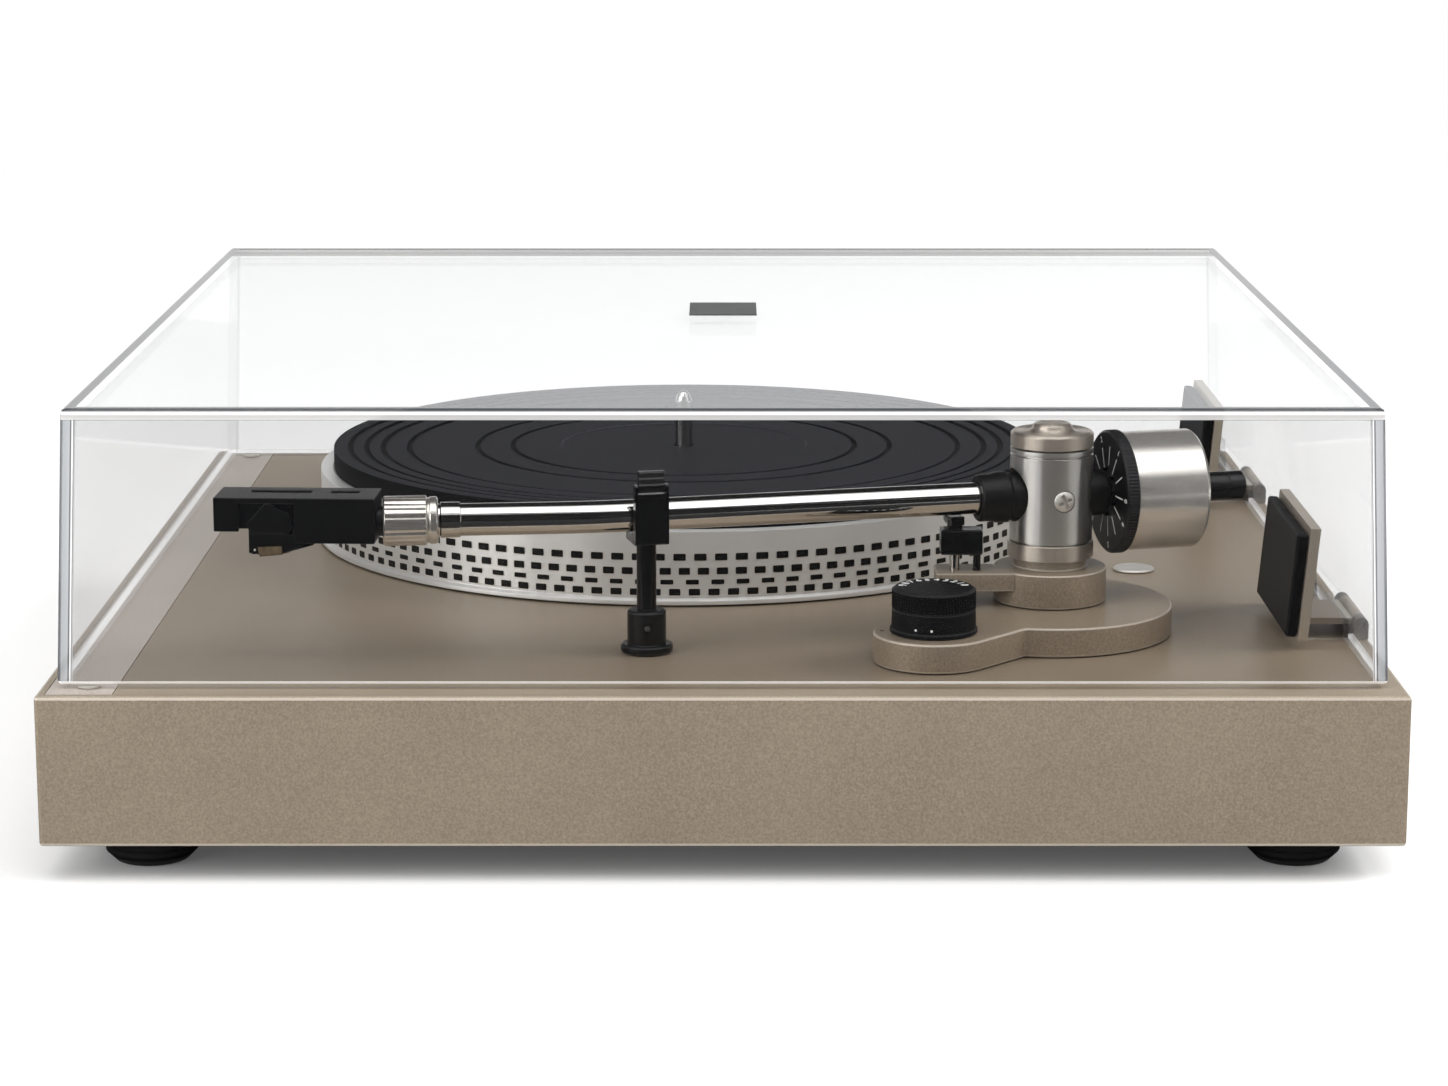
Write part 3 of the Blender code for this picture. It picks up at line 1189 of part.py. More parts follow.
def build_return(colours):
    """The small gear that turns the sector, and the motor it sits on."""
    x = PIVOT_X - GEAR_MODULE * (SECTOR_TEETH + PINION_TEETH) / 2
    axis = empty("return_gear_axis", (x, PIVOT_Y, DECK))
    low = -GEAR_BELOW_DECK - (PINION_THICKNESS - GEAR_THICKNESS) / 2
    high = low + PINION_THICKNESS
    teeth = gear_outline(PINION_TEETH, PINION_TEETH, math.pi / PINION_TEETH)
    gear = piece("return_gear", prism_shape(teeth, low, high), colours["nylon"], axis)
    bore = rod_shape(RETURN_SHAFT_RADIUS + GAP, low - OVERRUN, high + OVERRUN, SMALL_SIDES)
    cut(gear, piece("return_gear_bore", bore, parent=axis))

    seat = empty("return_motor_seat", (x, PIVOT_Y, DECK))
    floor = INSIDE_FLOOR + GAP - DECK
    profile = [
        (0, high + RETURN_SHAFT_RISE),
        (RETURN_SHAFT_RADIUS, high + RETURN_SHAFT_RISE),
        (RETURN_SHAFT_RADIUS, low - GAP),
        (RETURN_MOTOR_RADIUS - RETURN_MOTOR_EDGE, low - GAP),
        (RETURN_MOTOR_RADIUS, low - GAP - RETURN_MOTOR_EDGE),
        (RETURN_MOTOR_RADIUS, floor),
        (0, floor),
    ]
    piece("return_motor", turned_shape(profile, TURNED_SIDES), colours["steel"], seat)


def build_coupling(tilt, colours):
    """The body on the tilt axis, which holds the tube in front and the rear shaft behind."""
    profile = [
        (0, COUPLING_FRONT - COUPLING_SOCKET),
        (TUBE_RADIUS + GAP, COUPLING_FRONT - COUPLING_SOCKET),
        (TUBE_RADIUS + GAP, COUPLING_FRONT),
        (COUPLING_RADIUS - COUPLING_EDGE, COUPLING_FRONT),
        (COUPLING_RADIUS, COUPLING_FRONT - COUPLING_EDGE),
        (COUPLING_RADIUS, 0),
        (NECK_RADIUS, -TRUNNION_RADIUS),
        (NECK_RADIUS, COUPLING_EDGE - NECK_REAR),
        (NECK_RADIUS - COUPLING_EDGE, -NECK_REAR),
        (STUB_RADIUS + GAP, -NECK_REAR),
        (STUB_RADIUS + GAP, NECK_SOCKET - NECK_REAR),
        (0, NECK_SOCKET - NECK_REAR),
    ]
    body = turned_shape(profile, TURNED_SIDES)
    coupling = piece("arm_coupling", body, colours["black"], tilt, turn=FORWARDS)
    trunnion = rod_shape(TRUNNION_RADIUS, -TRUNNION_REACH, TRUNNION_REACH, ROD_SIDES)
    join(coupling, piece("trunnion", trunnion, parent=tilt, turn=SIDEWAYS))
    for side in (-1, 1):
        cup = rod_shape(SCREW_SHANK_RADIUS + GAP, SCREW_REACH - GAP, TRUNNION_REACH + OVERRUN, ROD_SIDES)
        cut(coupling, piece(f"trunnion_cup_{side}", cup, parent=tilt, turn=(0, side * math.pi / 2, 0)))


def build_tube(tilt, colours):
    """The tube, straight from the coupling, bent once, and straight again to the headshell's collar."""
    step = BEND_RADIUS * BEND_ANGLE / TUBE_BEND_STEPS
    distances = [COUPLING_FRONT - COUPLING_SOCKET + GAP]
    distances += [MAIN_LENGTH + step * number for number in range(TUBE_BEND_STEPS + 1)]
    distances.append(TUBE_FACE - PLUG_INSERT - GAP)
    stations = [arm_path(distance) for distance in distances]
    tube = tube_shape(stations, TUBE_RADIUS, TUBE_RADIUS - TUBE_WALL, ROD_SIDES)
    piece("arm_tube", tube, colours["chrome"], tilt)


def build_lock_collar(socket, colours):
    """Fluted collar on the tube's end, which clamps the headshell."""
    rear = -LOCK_LENGTH
    profile = [
        (TUBE_RADIUS + GAP, 0),
        (LOCK_RADIUS - LOCK_EDGE, 0),
        (LOCK_RADIUS, -LOCK_EDGE, LOCK_FLUTE_DEPTH),
        (LOCK_RADIUS, rear + LOCK_LIP_LENGTH, LOCK_FLUTE_DEPTH),
        (LOCK_LIP_RADIUS, rear + LOCK_LIP_LENGTH),
        (LOCK_LIP_RADIUS, rear),
        (TUBE_RADIUS + GAP, rear),
    ]
    collar = turned_shape(profile, 2 * LOCK_FLUTES, flutes=True)
    piece("lock_collar", collar, colours["chrome"], socket, turn=FORWARDS)


def build_rear_shaft(tilt, colours):
    """The shaft behind the coupling, which the weight and the dial run on."""
    start = NECK_SOCKET - NECK_REAR - GAP
    profile = [
        (0, start),
        (STUB_RADIUS, start),
        (STUB_RADIUS, STUB_EDGE - SHAFT_END),
        (STUB_RADIUS - STUB_EDGE, -SHAFT_END),
        (0, -SHAFT_END),
    ]
    shaft = turned_shape(profile, TURNED_SIDES)
    piece("counterweight_shaft", shaft, colours["gloss_black"], tilt, turn=FORWARDS)


def build_dial(tilt, colours):
    """Knurled force dial, hollowed in front so that it can come over the coupling's neck."""
    rear = DIAL_FRONT - DIAL_THICKNESS
    well = NECK_RADIUS + DIAL_WELL_PLAY
    profile = [
        (well, DIAL_FRONT),
        (DIAL_RADIUS - DIAL_BEVEL, DIAL_FRONT),
        (DIAL_RADIUS, DIAL_FRONT - DIAL_BEVEL, DIAL_FLUTE_DEPTH),
        (DIAL_RADIUS, rear, DIAL_FLUTE_DEPTH),
        (WEIGHT_BORE, rear),
        (WEIGHT_BORE, DIAL_FRONT - DIAL_WELL_DEPTH),
        (well, DIAL_FRONT - DIAL_WELL_DEPTH),
    ]
    dial = turned_shape(profile, 2 * DIAL_FLUTES, flutes=True)
    piece("force_dial", dial, colours["black"], tilt, turn=FORWARDS)


def build_weight(tilt, colours):
    """Counterweight behind the dial, hollowed in front."""
    front = DIAL_FRONT - DIAL_THICKNESS - GAP
    rear = front - WEIGHT_LENGTH
    profile = [
        (WEIGHT_WELL_RADIUS, front),
        (WEIGHT_RADIUS, front),
        (WEIGHT_RADIUS, rear + WEIGHT_EDGE),
        (WEIGHT_RADIUS - WEIGHT_EDGE, rear),
        (WEIGHT_BORE, rear),
        (WEIGHT_BORE, front - WEIGHT_WELL_DEPTH),
        (WEIGHT_WELL_RADIUS, front - WEIGHT_WELL_DEPTH),
    ]
    weight = turned_shape(profile, LARGE_SIDES)
    piece("counterweight", weight, colours["chrome"], tilt, turn=FORWARDS)


def build_headshell(socket, axis, colours):
    """A channel with slots in its roof, open below, with a nose in front of the cartridge."""
    side = [
        (-SHELL_START, SHELL_TOP),
        (SHELL_END, SHELL_TOP),
        (SHELL_END, -NOSE_BOTTOM),
        (SHELL_NOSE, -NOSE_BOTTOM),
        (SHELL_NOSE, SHELL_ROOF),
        (SHELL_NOTCH, SHELL_ROOF),
        (SHELL_NOTCH, -SHELL_BOTTOM),
        (-SHELL_START, -SHELL_BOTTOM),
    ]
    channel = prism_shape(side, -SHELL_WIDTH / 2, SHELL_WIDTH / 2, along="X")
    shell = piece("headshell", channel, colours["black"], axis)
    hollows = {
        "rear": (-SHELL_START - SHELL_WALL, SHELL_NOTCH - OVERRUN, -SHELL_BOTTOM - OVERRUN),
        "nose": (SHELL_NOSE + OVERRUN, SHELL_END + SHELL_WALL, -NOSE_BOTTOM - OVERRUN),
    }
    for name, (near, far, low) in hollows.items():
        size = (SHELL_WIDTH - 2 * SHELL_WALL, near - far, SHELL_ROOF - low)
        hollow = box_shape(size, (0, (near + far) / 2, (SHELL_ROOF + low) / 2))
        cut(shell, piece(f"shell_{name}_hollow", hollow, parent=axis))
    for near_share, far_share in (REAR_SLOT_SHARES, FRONT_SLOT_SHARES):
        near = -SHELL_START - SHELL_LENGTH * near_share
        far = -SHELL_START - SHELL_LENGTH * far_share
        size = (SLOT_WIDTH, near - far, SHELL_WALL + 2 * OVERRUN)
        slot = box_shape(size, (-SLOT_SET, (near + far) / 2, SHELL_TOP))
        cut(shell, piece("shell_slot", slot, parent=axis))
    plug = rod_shape(PLUG_RADIUS, -PLUG_INSERT, SHELL_START + SHELL_WALL / 2, ROD_SIDES)
    join(shell, piece("shell_plug", plug, parent=socket, turn=FORWARDS))


def build_cartridge(axis, colours):
    """The cartridge, held under the headshell's roof, with its tail under the channel."""
    front = SHELL_END + CARTRIDGE_SETBACK
    rear = SHELL_NOTCH - CARTRIDGE_PLAY
    top = SHELL_ROOF - GAP
    under_shell = -SHELL_BOTTOM - GAP
    side = [
        (rear, top),
        (front + CARTRIDGE_SLOPE, top),
        (front, top - CARTRIDGE_CHEST),
        (front, CARTRIDGE_BOTTOM),
        (front + CARTRIDGE_BASE_LENGTH, CARTRIDGE_BOTTOM),
        (rear + CARTRIDGE_TAIL, under_shell - CARTRIDGE_PLAY),
        (rear + CARTRIDGE_TAIL, under_shell),
        (rear, under_shell),
    ]
    cartridge = prism_shape(side, -CARTRIDGE_WIDTH / 2, CARTRIDGE_WIDTH / 2, along="X")
    piece("cartridge", cartridge, colours["black"], axis)


def build_stylus(axis, colours):
    """The stylus holder with its tip, which meets a record when the arm is over the platter."""
    tip_z = MAT_TOP + RECORD_THICKNESS - AXIS_HEIGHT
    top = CARTRIDGE_BOTTOM - GAP
    front = -COLLAR_TO_STYLUS - STYLUS_AHEAD
    rear = front + STYLUS_LENGTH
    side = [
        (rear, top),
        (front, top),
        (front + STYLUS_HEIGHT, top - STYLUS_HEIGHT),
        (rear - STYLUS_SLOPE, top - STYLUS_HEIGHT),
    ]
    holder = prism_shape(side, -STYLUS_WIDTH / 2, STYLUS_WIDTH / 2, along="X")
    stylus = piece("stylus", holder, colours["stylus"], axis)
    profile = [
        (0, top - STYLUS_HEIGHT / 2),
        (TIP_RADIUS, top - STYLUS_HEIGHT / 2),
        (TIP_RADIUS, tip_z + TIP_RADIUS),
        (0, tip_z),
    ]
    tip = turned_shape(profile, TIP_SIDES)
    join(stylus, piece("stylus_tip", tip, parent=axis, place=(0, -COLLAR_TO_STYLUS, 0)))


def build_rest_post(seat, colours):
    """Post of the arm rest, a thin column in a sleeve with a flange."""
    flange = GAP + REST_FLANGE_HEIGHT
    sleeve = flange + REST_SLEEVE_HEIGHT
    top = CRADLE_SHELF_TOP - CRADLE_SHELF - GAP
    profile = [
        (0, top),
        (REST_COLUMN_RADIUS, top),
        (REST_COLUMN_RADIUS, sleeve),
        (REST_SLEEVE_RADIUS - REST_EDGE, sleeve),
        (REST_SLEEVE_RADIUS, sleeve - REST_EDGE),
        (REST_SLEEVE_RADIUS, flange),
        (REST_FLANGE_RADIUS - REST_EDGE, flange),
        (REST_FLANGE_RADIUS, flange - REST_EDGE),
        (REST_FLANGE_RADIUS, GAP),
        (0, GAP),
    ]
    piece("arm_rest_post", turned_shape(profile, TURNED_SIDES), colours["gloss_black"], seat)


def build_cradle(seat, colours):
    """Cradle with a shelf under the tube, and a cheek beside it whose ears hold the clip."""
    low = CRADLE_SHELF_TOP - CRADLE_SHELF
    inner = TUBE_RADIUS + CRADLE_PLAY
    outer = inner + CHEEK_THICKNESS
    ear_top = CHEEK_TOP + EAR_HEIGHT
    section = [
        (-CRADLE_SHELF_REACH, low),
        (outer - CRADLE_EDGE, low),
        (outer, low + CRADLE_EDGE),
        (outer, ear_top - CRADLE_EDGE),
        (outer - CRADLE_EDGE, ear_top),
        (inner, ear_top),
        (inner, CRADLE_SHELF_TOP + CRADLE_GUIDE),
        (inner - CRADLE_GUIDE, CRADLE_SHELF_TOP),
        (-CRADLE_SHELF_REACH, CRADLE_SHELF_TOP),
    ]
    body = prism_shape(section, -CRADLE_LENGTH / 2, CRADLE_LENGTH / 2, along="Y")
    cradle = piece("arm_rest_cradle", body, colours["gloss_black"], seat)
    gap_height = EAR_HEIGHT + OVERRUN
    gap_size = (CHEEK_THICKNESS + 2 * OVERRUN, EAR_GAP, gap_height)
    gap = box_shape(gap_size, (CLIP_PIN_X, 0, CHEEK_TOP + gap_height / 2))
    bore = rod_shape(CLIP_PIN_RADIUS + CLIP_PIN_PLAY, -CRADLE_LENGTH, CRADLE_LENGTH, SMALL_SIDES)
    pin_place = (CLIP_PIN_X, 0, CLIP_PIN_Z)
    cut(cradle, piece("clip_gap", gap, parent=seat))
    cut(cradle, piece("clip_bore", bore, parent=seat, place=pin_place, turn=FORWARDS))


def build_clip(seat, colours):
    """Clip with a ribbed outer face, on a pin between the cheek's ears."""
    axis = empty("clip_axis", (CLIP_PIN_X, 0, CLIP_PIN_Z), parent=seat)
    half = CLIP_THICKNESS / 2
    rib_height = CLIP_REACH / CLIP_RIBS
    side = [(half, 0)]
    for number in range(CLIP_RIBS):
        side.append((half, rib_height * (number + CLIP_RIB_SHARE)))
        side.append((half - CLIP_RIB_DEPTH, rib_height * (number + 1)))
    side.append((-half, CLIP_REACH))
    side += arc((0, 0), half, math.pi, 2 * math.pi, CLIP_ARC_POINTS)[:-1]
    clip_half = EAR_GAP / 2 - GAP
    body = prism_shape(side, -clip_half, clip_half, along="Y")
    clip = piece("arm_rest_clip", body, colours["gloss_black"], axis)
    pin = rod_shape(CLIP_PIN_RADIUS, -CRADLE_LENGTH / 2, CRADLE_LENGTH / 2, SMALL_SIDES)
    join(clip, piece("clip_pin", pin, parent=axis, turn=FORWARDS))


def build_knob(colours):
    """Anti-skate knob with a knurled grip, its stem in the lobe."""
    axis = empty("knob_axis", (LOBE_X, LOBE_Y, DECK))
    low = BASE_HEIGHT + GAP
    high = low + KNOB_HEIGHT
    grip = high - KNOB_HEIGHT * KNOB_GRIP_SHARE
    stem_low = BASE_HEIGHT - KNOB_STEM_LENGTH + GAP
    profile = [
        (0, high),
        (KNOB_RADIUS - KNOB_EDGE, high),
        (KNOB_RADIUS, high - KNOB_EDGE, KNOB_FLUTE_DEPTH),
        (KNOB_RADIUS, grip, KNOB_FLUTE_DEPTH),
        (KNOB_RADIUS, grip - KNOB_FLUTE_DEPTH),
        (KNOB_RADIUS, low + KNOB_SKIRT_HEIGHT),
        (KNOB_SKIRT_RADIUS, low + KNOB_SKIRT_HEIGHT),
        (KNOB_SKIRT_RADIUS, low),
        (KNOB_STEM_RADIUS, low),
        (KNOB_STEM_RADIUS, stem_low),
        (0, stem_low),
    ]
    piece("antiskate_knob", turned_shape(profile, 2 * KNOB_FLUTES, flutes=True), colours["black"], axis)


def build_transit_screw(colours):
    """The flat screw that locks the drive for transport."""
    seat = empty("transit_seat", (TRANSIT_X, TRANSIT_Y, DECK))
    high = GAP + TRANSIT_HEAD
    profile = [
        (0, high),
        (TRANSIT_RADIUS - TRANSIT_EDGE, high),
        (TRANSIT_RADIUS, high - TRANSIT_EDGE),
        (TRANSIT_RADIUS, GAP),
        (TRANSIT_STUD_RADIUS, GAP),
        (TRANSIT_STUD_RADIUS, -TRANSIT_STUD_LENGTH),
        (0, -TRANSIT_STUD_LENGTH),
    ]
    piece("transit_screw", turned_shape(profile, TURNED_SIDES), colours["bright"], seat)


def build_cover(colours):
    """Clear dust cover on its hinge axis, with a hinge near each end of its back wall."""
    lid = empty("cover_axis", (0, BACK - HINGE_AXIS_INSET, DECK + HINGE_AXIS_HEIGHT))
    place = (0, HINGE_AXIS_INSET - BACK, 0)
    half_x = RIGHT - COVER_INSET_X
    half_y = BACK - COVER_INSET_Y
    low = COVER_FLOAT - HINGE_AXIS_HEIGHT
    high = COVER_TOP - HINGE_AXIS_HEIGHT
    outer = frustum_shape(half_x, half_y, low, high, COVER_TAPER)
    round_edges(outer, outer.edges[:], COVER_EDGE)
    shell = piece("dust_cover", outer, colours["clear"], lid, place)
    half_x -= COVER_WALL
    half_y -= COVER_WALL
    inner = frustum_shape(half_x, half_y, low - OVERRUN, high - COVER_WALL, COVER_TAPER)
    cut(shell, piece("cover_hollow", inner, parent=lid, place=place))
    for side, name in ((-1, "left"), (1, "right")):
        x = side * (RIGHT - HINGE_INSET_X)
        build_hinge_base(name, x, lid.location, colours)
        carrier = empty(f"hinge_leaf_seat_{name}", (x, 0, 0), parent=lid)
        build_hinge_leaf(name, carrier, colours)
        build_hinge_cap(name, carrier, colours)
        build_cover_holder(name, carrier, shell)


def build_bumpers(colours):
    """Soft stops on the deck, under the cover's front edge."""
    for side, name in ((-1, "left"), (1, "right")):
        bumper = rod_shape(BUMPER_RADIUS, GAP, COVER_FLOAT - GAP, ROD_SIDES)
        place = (side * (RIGHT - BUMPER_INSET_X), BUMPER_INSET_Y - BACK, DECK)
        piece(f"cover_bumper_{name}", bumper, colours["soft_clear"], place=place)


def build_hinge_base(name, x, axis_place, colours):
    """Base with two ears on the plinth, and the pin through them."""
    seat = empty(f"hinge_seat_{name}", (x, axis_place.y, axis_place.z))
    low = GAP - HINGE_AXIS_HEIGHT
    section = arc((0, 0), KNUCKLE_RADIUS, 0, math.pi, EAR_ARC_POINTS)
    section += [(-KNUCKLE_RADIUS, low), (KNUCKLE_RADIUS, low)]
    outer = KNUCKLE_LENGTH / 2 + GAP + EAR_LENGTH
    base = piece(f"hinge_base_{name}", prism_shape(section, -outer, outer, along="X"), colours["steel"], seat)
    gap_low = -KNUCKLE_RADIUS - 2 * GAP
    gap_high = KNUCKLE_RADIUS + OVERRUN
    gap_size = (KNUCKLE_LENGTH + 2 * GAP, 2 * gap_high, gap_high - gap_low)
    gap = box_shape(gap_size, (0, 0, (gap_high + gap_low) / 2))
    bore = rod_shape(HINGE_PIN_RADIUS + GAP, -outer - OVERRUN, outer + OVERRUN, BORE_SIDES)
    cut(base, piece(f"hinge_base_gap_{name}", gap, parent=seat))
    cut(base, piece(f"hinge_base_bore_{name}", bore, parent=seat, turn=SIDEWAYS))
    pin = rod_shape(HINGE_PIN_RADIUS, -outer, outer, BORE_SIDES)
    piece(f"hinge_pin_{name}", pin, colours["bright"], seat, turn=SIDEWAYS)


def build_hinge_leaf(name, carrier, colours):
    """Leaning leaf on the cover, joined by a tongue to the knuckle on the pin."""
    half = KNUCKLE_LENGTH / 2
    lean = LEAF_HEIGHT * math.tan(LEAF_LEAN)
    rear = LEAF_FRONT + LEAF_THICKNESS
    side = [
        (LEAF_FRONT, LEAF_LOW),
        (rear, LEAF_LOW),
        (rear + lean, LEAF_LOW + LEAF_HEIGHT),
        (LEAF_FRONT + lean, LEAF_LOW + LEAF_HEIGHT),
    ]
    plate = prism_shape(side, -LEAF_WIDTH / 2, LEAF_WIDTH / 2, along="X")
    leaf = piece(f"hinge_leaf_{name}", plate, colours["gold"], carrier)
    middle = LEAF_FRONT + LEAF_THICKNESS / 2
    tongue = box_shape((KNUCKLE_LENGTH, -middle, TONGUE_THICKNESS), (0, middle / 2, 0))
    knuckle = rod_shape(KNUCKLE_RADIUS, -half, half, ROD_SIDES)
    bore = rod_shape(HINGE_PIN_RADIUS + GAP, -half - OVERRUN, half + OVERRUN, BORE_SIDES)
    join(leaf, piece(f"hinge_tongue_{name}", tongue, parent=carrier))
    join(leaf, piece(f"hinge_knuckle_{name}", knuckle, parent=carrier, turn=SIDEWAYS))
    cut(leaf, piece(f"hinge_leaf_bore_{name}", bore, parent=carrier, turn=SIDEWAYS))


def build_hinge_cap(name, carrier, colours):
    """Black cap plate on the leaf's front."""
    seat = empty(f"hinge_cap_seat_{name}", (0, LEAF_FRONT - GAP, LEAF_LOW), (-LEAF_LEAN, 0, 0), carrier)
    size = (CAP_PLATE_WIDTH, CAP_PLATE_THICKNESS, CAP_PLATE_HEIGHT)
    place = (0, -CAP_PLATE_THICKNESS / 2, CAP_PLATE_RISE + CAP_PLATE_HEIGHT / 2)
    piece(f"hinge_cap_{name}", box_shape(size, place, CAP_PLATE_EDGE), colours["black"], seat)


def build_cover_holder(name, carrier, shell):
    """The hollow holder that is part of the clear cover, behind the leaf, and the notch for the tongue."""
    front = LEAF_FRONT + LEAF_THICKNESS + GAP
    lean_front = front + HOLDER_HEIGHT * math.tan(LEAF_LEAN)
    rear_wall = HINGE_AXIS_INSET - COVER_INSET_Y - COVER_WALL
    wall_middle = rear_wall + COVER_WALL / 2
    outside = [
        (front, LEAF_LOW),
        (lean_front, LEAF_LOW + HOLDER_HEIGHT),
        (wall_middle, LEAF_LOW + HOLDER_REAR_HEIGHT + HOLDER_WALL),
        (wall_middle, LEAF_LOW),
    ]
    roof = LEAF_LOW + HOLDER_HEIGHT - 2 * HOLDER_WALL
    inside = [
        (front - OVERRUN, LEAF_LOW - OVERRUN),
        (front - OVERRUN, roof),
        (lean_front, roof),
        (rear_wall, LEAF_LOW + HOLDER_REAR_HEIGHT - HOLDER_WALL),
        (rear_wall, LEAF_LOW - OVERRUN),
    ]
    half = LEAF_WIDTH / 2 - HOLDER_WALL
    holder = prism_shape(outside, -half, half, along="X")
    half -= HOLDER_WALL
    hollow = prism_shape(inside, -half, half, along="X")
    notch_low = COVER_FLOAT - HINGE_AXIS_HEIGHT - OVERRUN
    notch_high = TONGUE_THICKNESS / 2 + TONGUE_PLAY
    notch_size = (
        KNUCKLE_LENGTH + 2 * EAR_LENGTH + 2 * TONGUE_PLAY,
        COVER_WALL + 2 * OVERRUN,
        notch_high - notch_low,
    )
    notch = box_shape(notch_size, (0, wall_middle, (notch_high + notch_low) / 2))
    join(shell, piece(f"cover_holder_{name}", holder, parent=carrier))
    cut(shell, piece(f"cover_holder_hollow_{name}", hollow, parent=carrier))
    cut(shell, piece(f"cover_notch_{name}", notch, parent=carrier))


def make_finishes():
    """The finishes seen on the object."""
    return {
        "champagne": finish("champagne", (0.29, 0.235, 0.18), 0.45, 0.6),
        "strip": finish("strip", (0.45, 0.39, 0.34), 0.4, 0.6),
        "steel": finish("steel", (0.35, 0.35, 0.36), 0.5, 0.9),
        "rubber": finish("rubber", (0.012, 0.012, 0.012), 0.8, 0.0),
        "key": finish("key", (0.42, 0.37, 0.32), 0.35, 0.7),
        "socket": finish("socket", (0.02, 0.02, 0.02), 0.5, 0.0),
        "bright": finish("bright", (0.75, 0.75, 0.74), 0.25, 1.0),
        "board": finish("board", (0.10, 0.20, 0.08), 0.6, 0.0),
        "brass": finish("brass", (0.65, 0.48, 0.20), 0.35, 1.0),
        "platter": finish("platter", (0.62, 0.62, 0.61), 0.35, 1.0),
        "mat": finish("mat", (0.018, 0.018, 0.021), 0.75, 0.0),
        "magnet": finish("magnet", (0.05, 0.05, 0.055), 0.6, 0.3),
        "black": finish("black", (0.010, 0.010, 0.011), 0.45, 0.0),
        "gloss_black": finish("gloss_black", (0.006, 0.006, 0.006), 0.2, 0.0),
        "brushed": finish("brushed", (0.58, 0.56, 0.53), 0.32, 1.0),
        "satin": finish("satin", (0.50, 0.46, 0.41), 0.35, 1.0),
        "screw": finish("screw", (0.80, 0.80, 0.80), 0.2, 1.0),
        "chrome": finish("chrome", (0.82, 0.82, 0.82), 0.08, 1.0),
        "stylus": finish("stylus", (0.16, 0.10, 0.05), 0.4, 0.0),
        "nylon": finish("nylon", (0.75, 0.72, 0.66), 0.5, 0.0),
        "gold": finish("gold", (0.52, 0.44, 0.33), 0.35, 0.6),
        "clear": finish("clear", (0.92, 0.93, 0.93), 0.05, 0.0, 0.25),
        "soft_clear": finish("soft_clear", (0.80, 0.80, 0.78), 0.4, 0.0, 0.6),
    }


def build_drive(colours):
    """The direct drive: what stands on the deck, and what turns."""
    seat = empty("platter_seat", (PLATTER_X, PLATTER_Y, DECK))
    axis = empty("platter_axis", (PLATTER_X, PLATTER_Y, DECK))
    build_bearing(seat, colours)
    build_stator(seat, colours)
    build_platter(axis, colours)
    build_mat(axis, colours)
    build_spindle(axis, colours)
    build_magnet(axis, colours)


def build_arm(tilt, colours):
    """All that tilts, from the headshell to the counterweight."""
    build_coupling(tilt, colours)
    build_tube(tilt, colours)
    place, heading = arm_path(TUBE_FACE)
    socket = empty("collar_axis", place, (0, 0, heading), tilt)
    axis = empty("headshell_axis", (0, 0, 0), (0, 0, -HEADSHELL_OFFSET), socket)
    build_lock_collar(socket, colours)
    build_headshell(socket, axis, colours)
    build_cartridge(axis, colours)
    build_stylus(axis, colours)
    build_rear_shaft(tilt, colours)
    build_dial(tilt, colours)
    build_weight(tilt, colours)


def build_rest(colours):
    """The arm rest, square to the tube that lies on it."""
    along, heading = arm_path(MAIN_LENGTH - REST_SETBACK)
    place = Matrix.Rotation(ARM_YAW, 3, "Z") @ along + Vector((PIVOT_X, PIVOT_Y, DECK))
    seat = empty("rest_seat", place, (0, 0, ARM_YAW + heading))
    build_rest_post(seat, colours)
    build_cradle(seat, colours)
    build_clip(seat, colours)


def main():
    for old in list(bpy.data.objects):
        bpy.data.objects.remove(old, do_unlink=True)
    colours = make_finishes()
    build_plinth(colours)
    build_bottom(colours)
    build_feet(colours)
    build_rear(colours)
    build_transformer(colours)
    build_board(colours)
    build_drive(colours)
    build_arm_base(colours)
    pivot = empty("arm_pivot_seat", (PIVOT_X, PIVOT_Y, DECK))
    build_collar(pivot, colours)
    build_bracket(pivot, colours)
    build_lifter(colours)
    swing = empty("arm_swing_axis", (PIVOT_X, PIVOT_Y, DECK), (0, 0, ARM_YAW))
    build_pillar(swing, colours)
    build_sector(swing, colours)
    build_return(colours)
    build_arm(empty("arm_tilt_axis", (0, 0, AXIS_HEIGHT), parent=swing), colours)
    build_rest(colours)
    build_knob(colours)
    build_transit_screw(colours)
    build_cover(colours)
    build_bumpers(colours)


main()
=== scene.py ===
# %% [markdown]
# # An automatic turntable under a clear cover
# The solids of the turntable come ready made, each at its place. This lesson dresses them: round
# pieces get as many sides as a lathe would give them, edges are softened, and each finish is built
# from nodes. Everything is in metres, +X to the listener's right, +Y to the back, +Z up.

# %% Load the solids
import json
import math

import bpy
from mathutils import Matrix, Vector


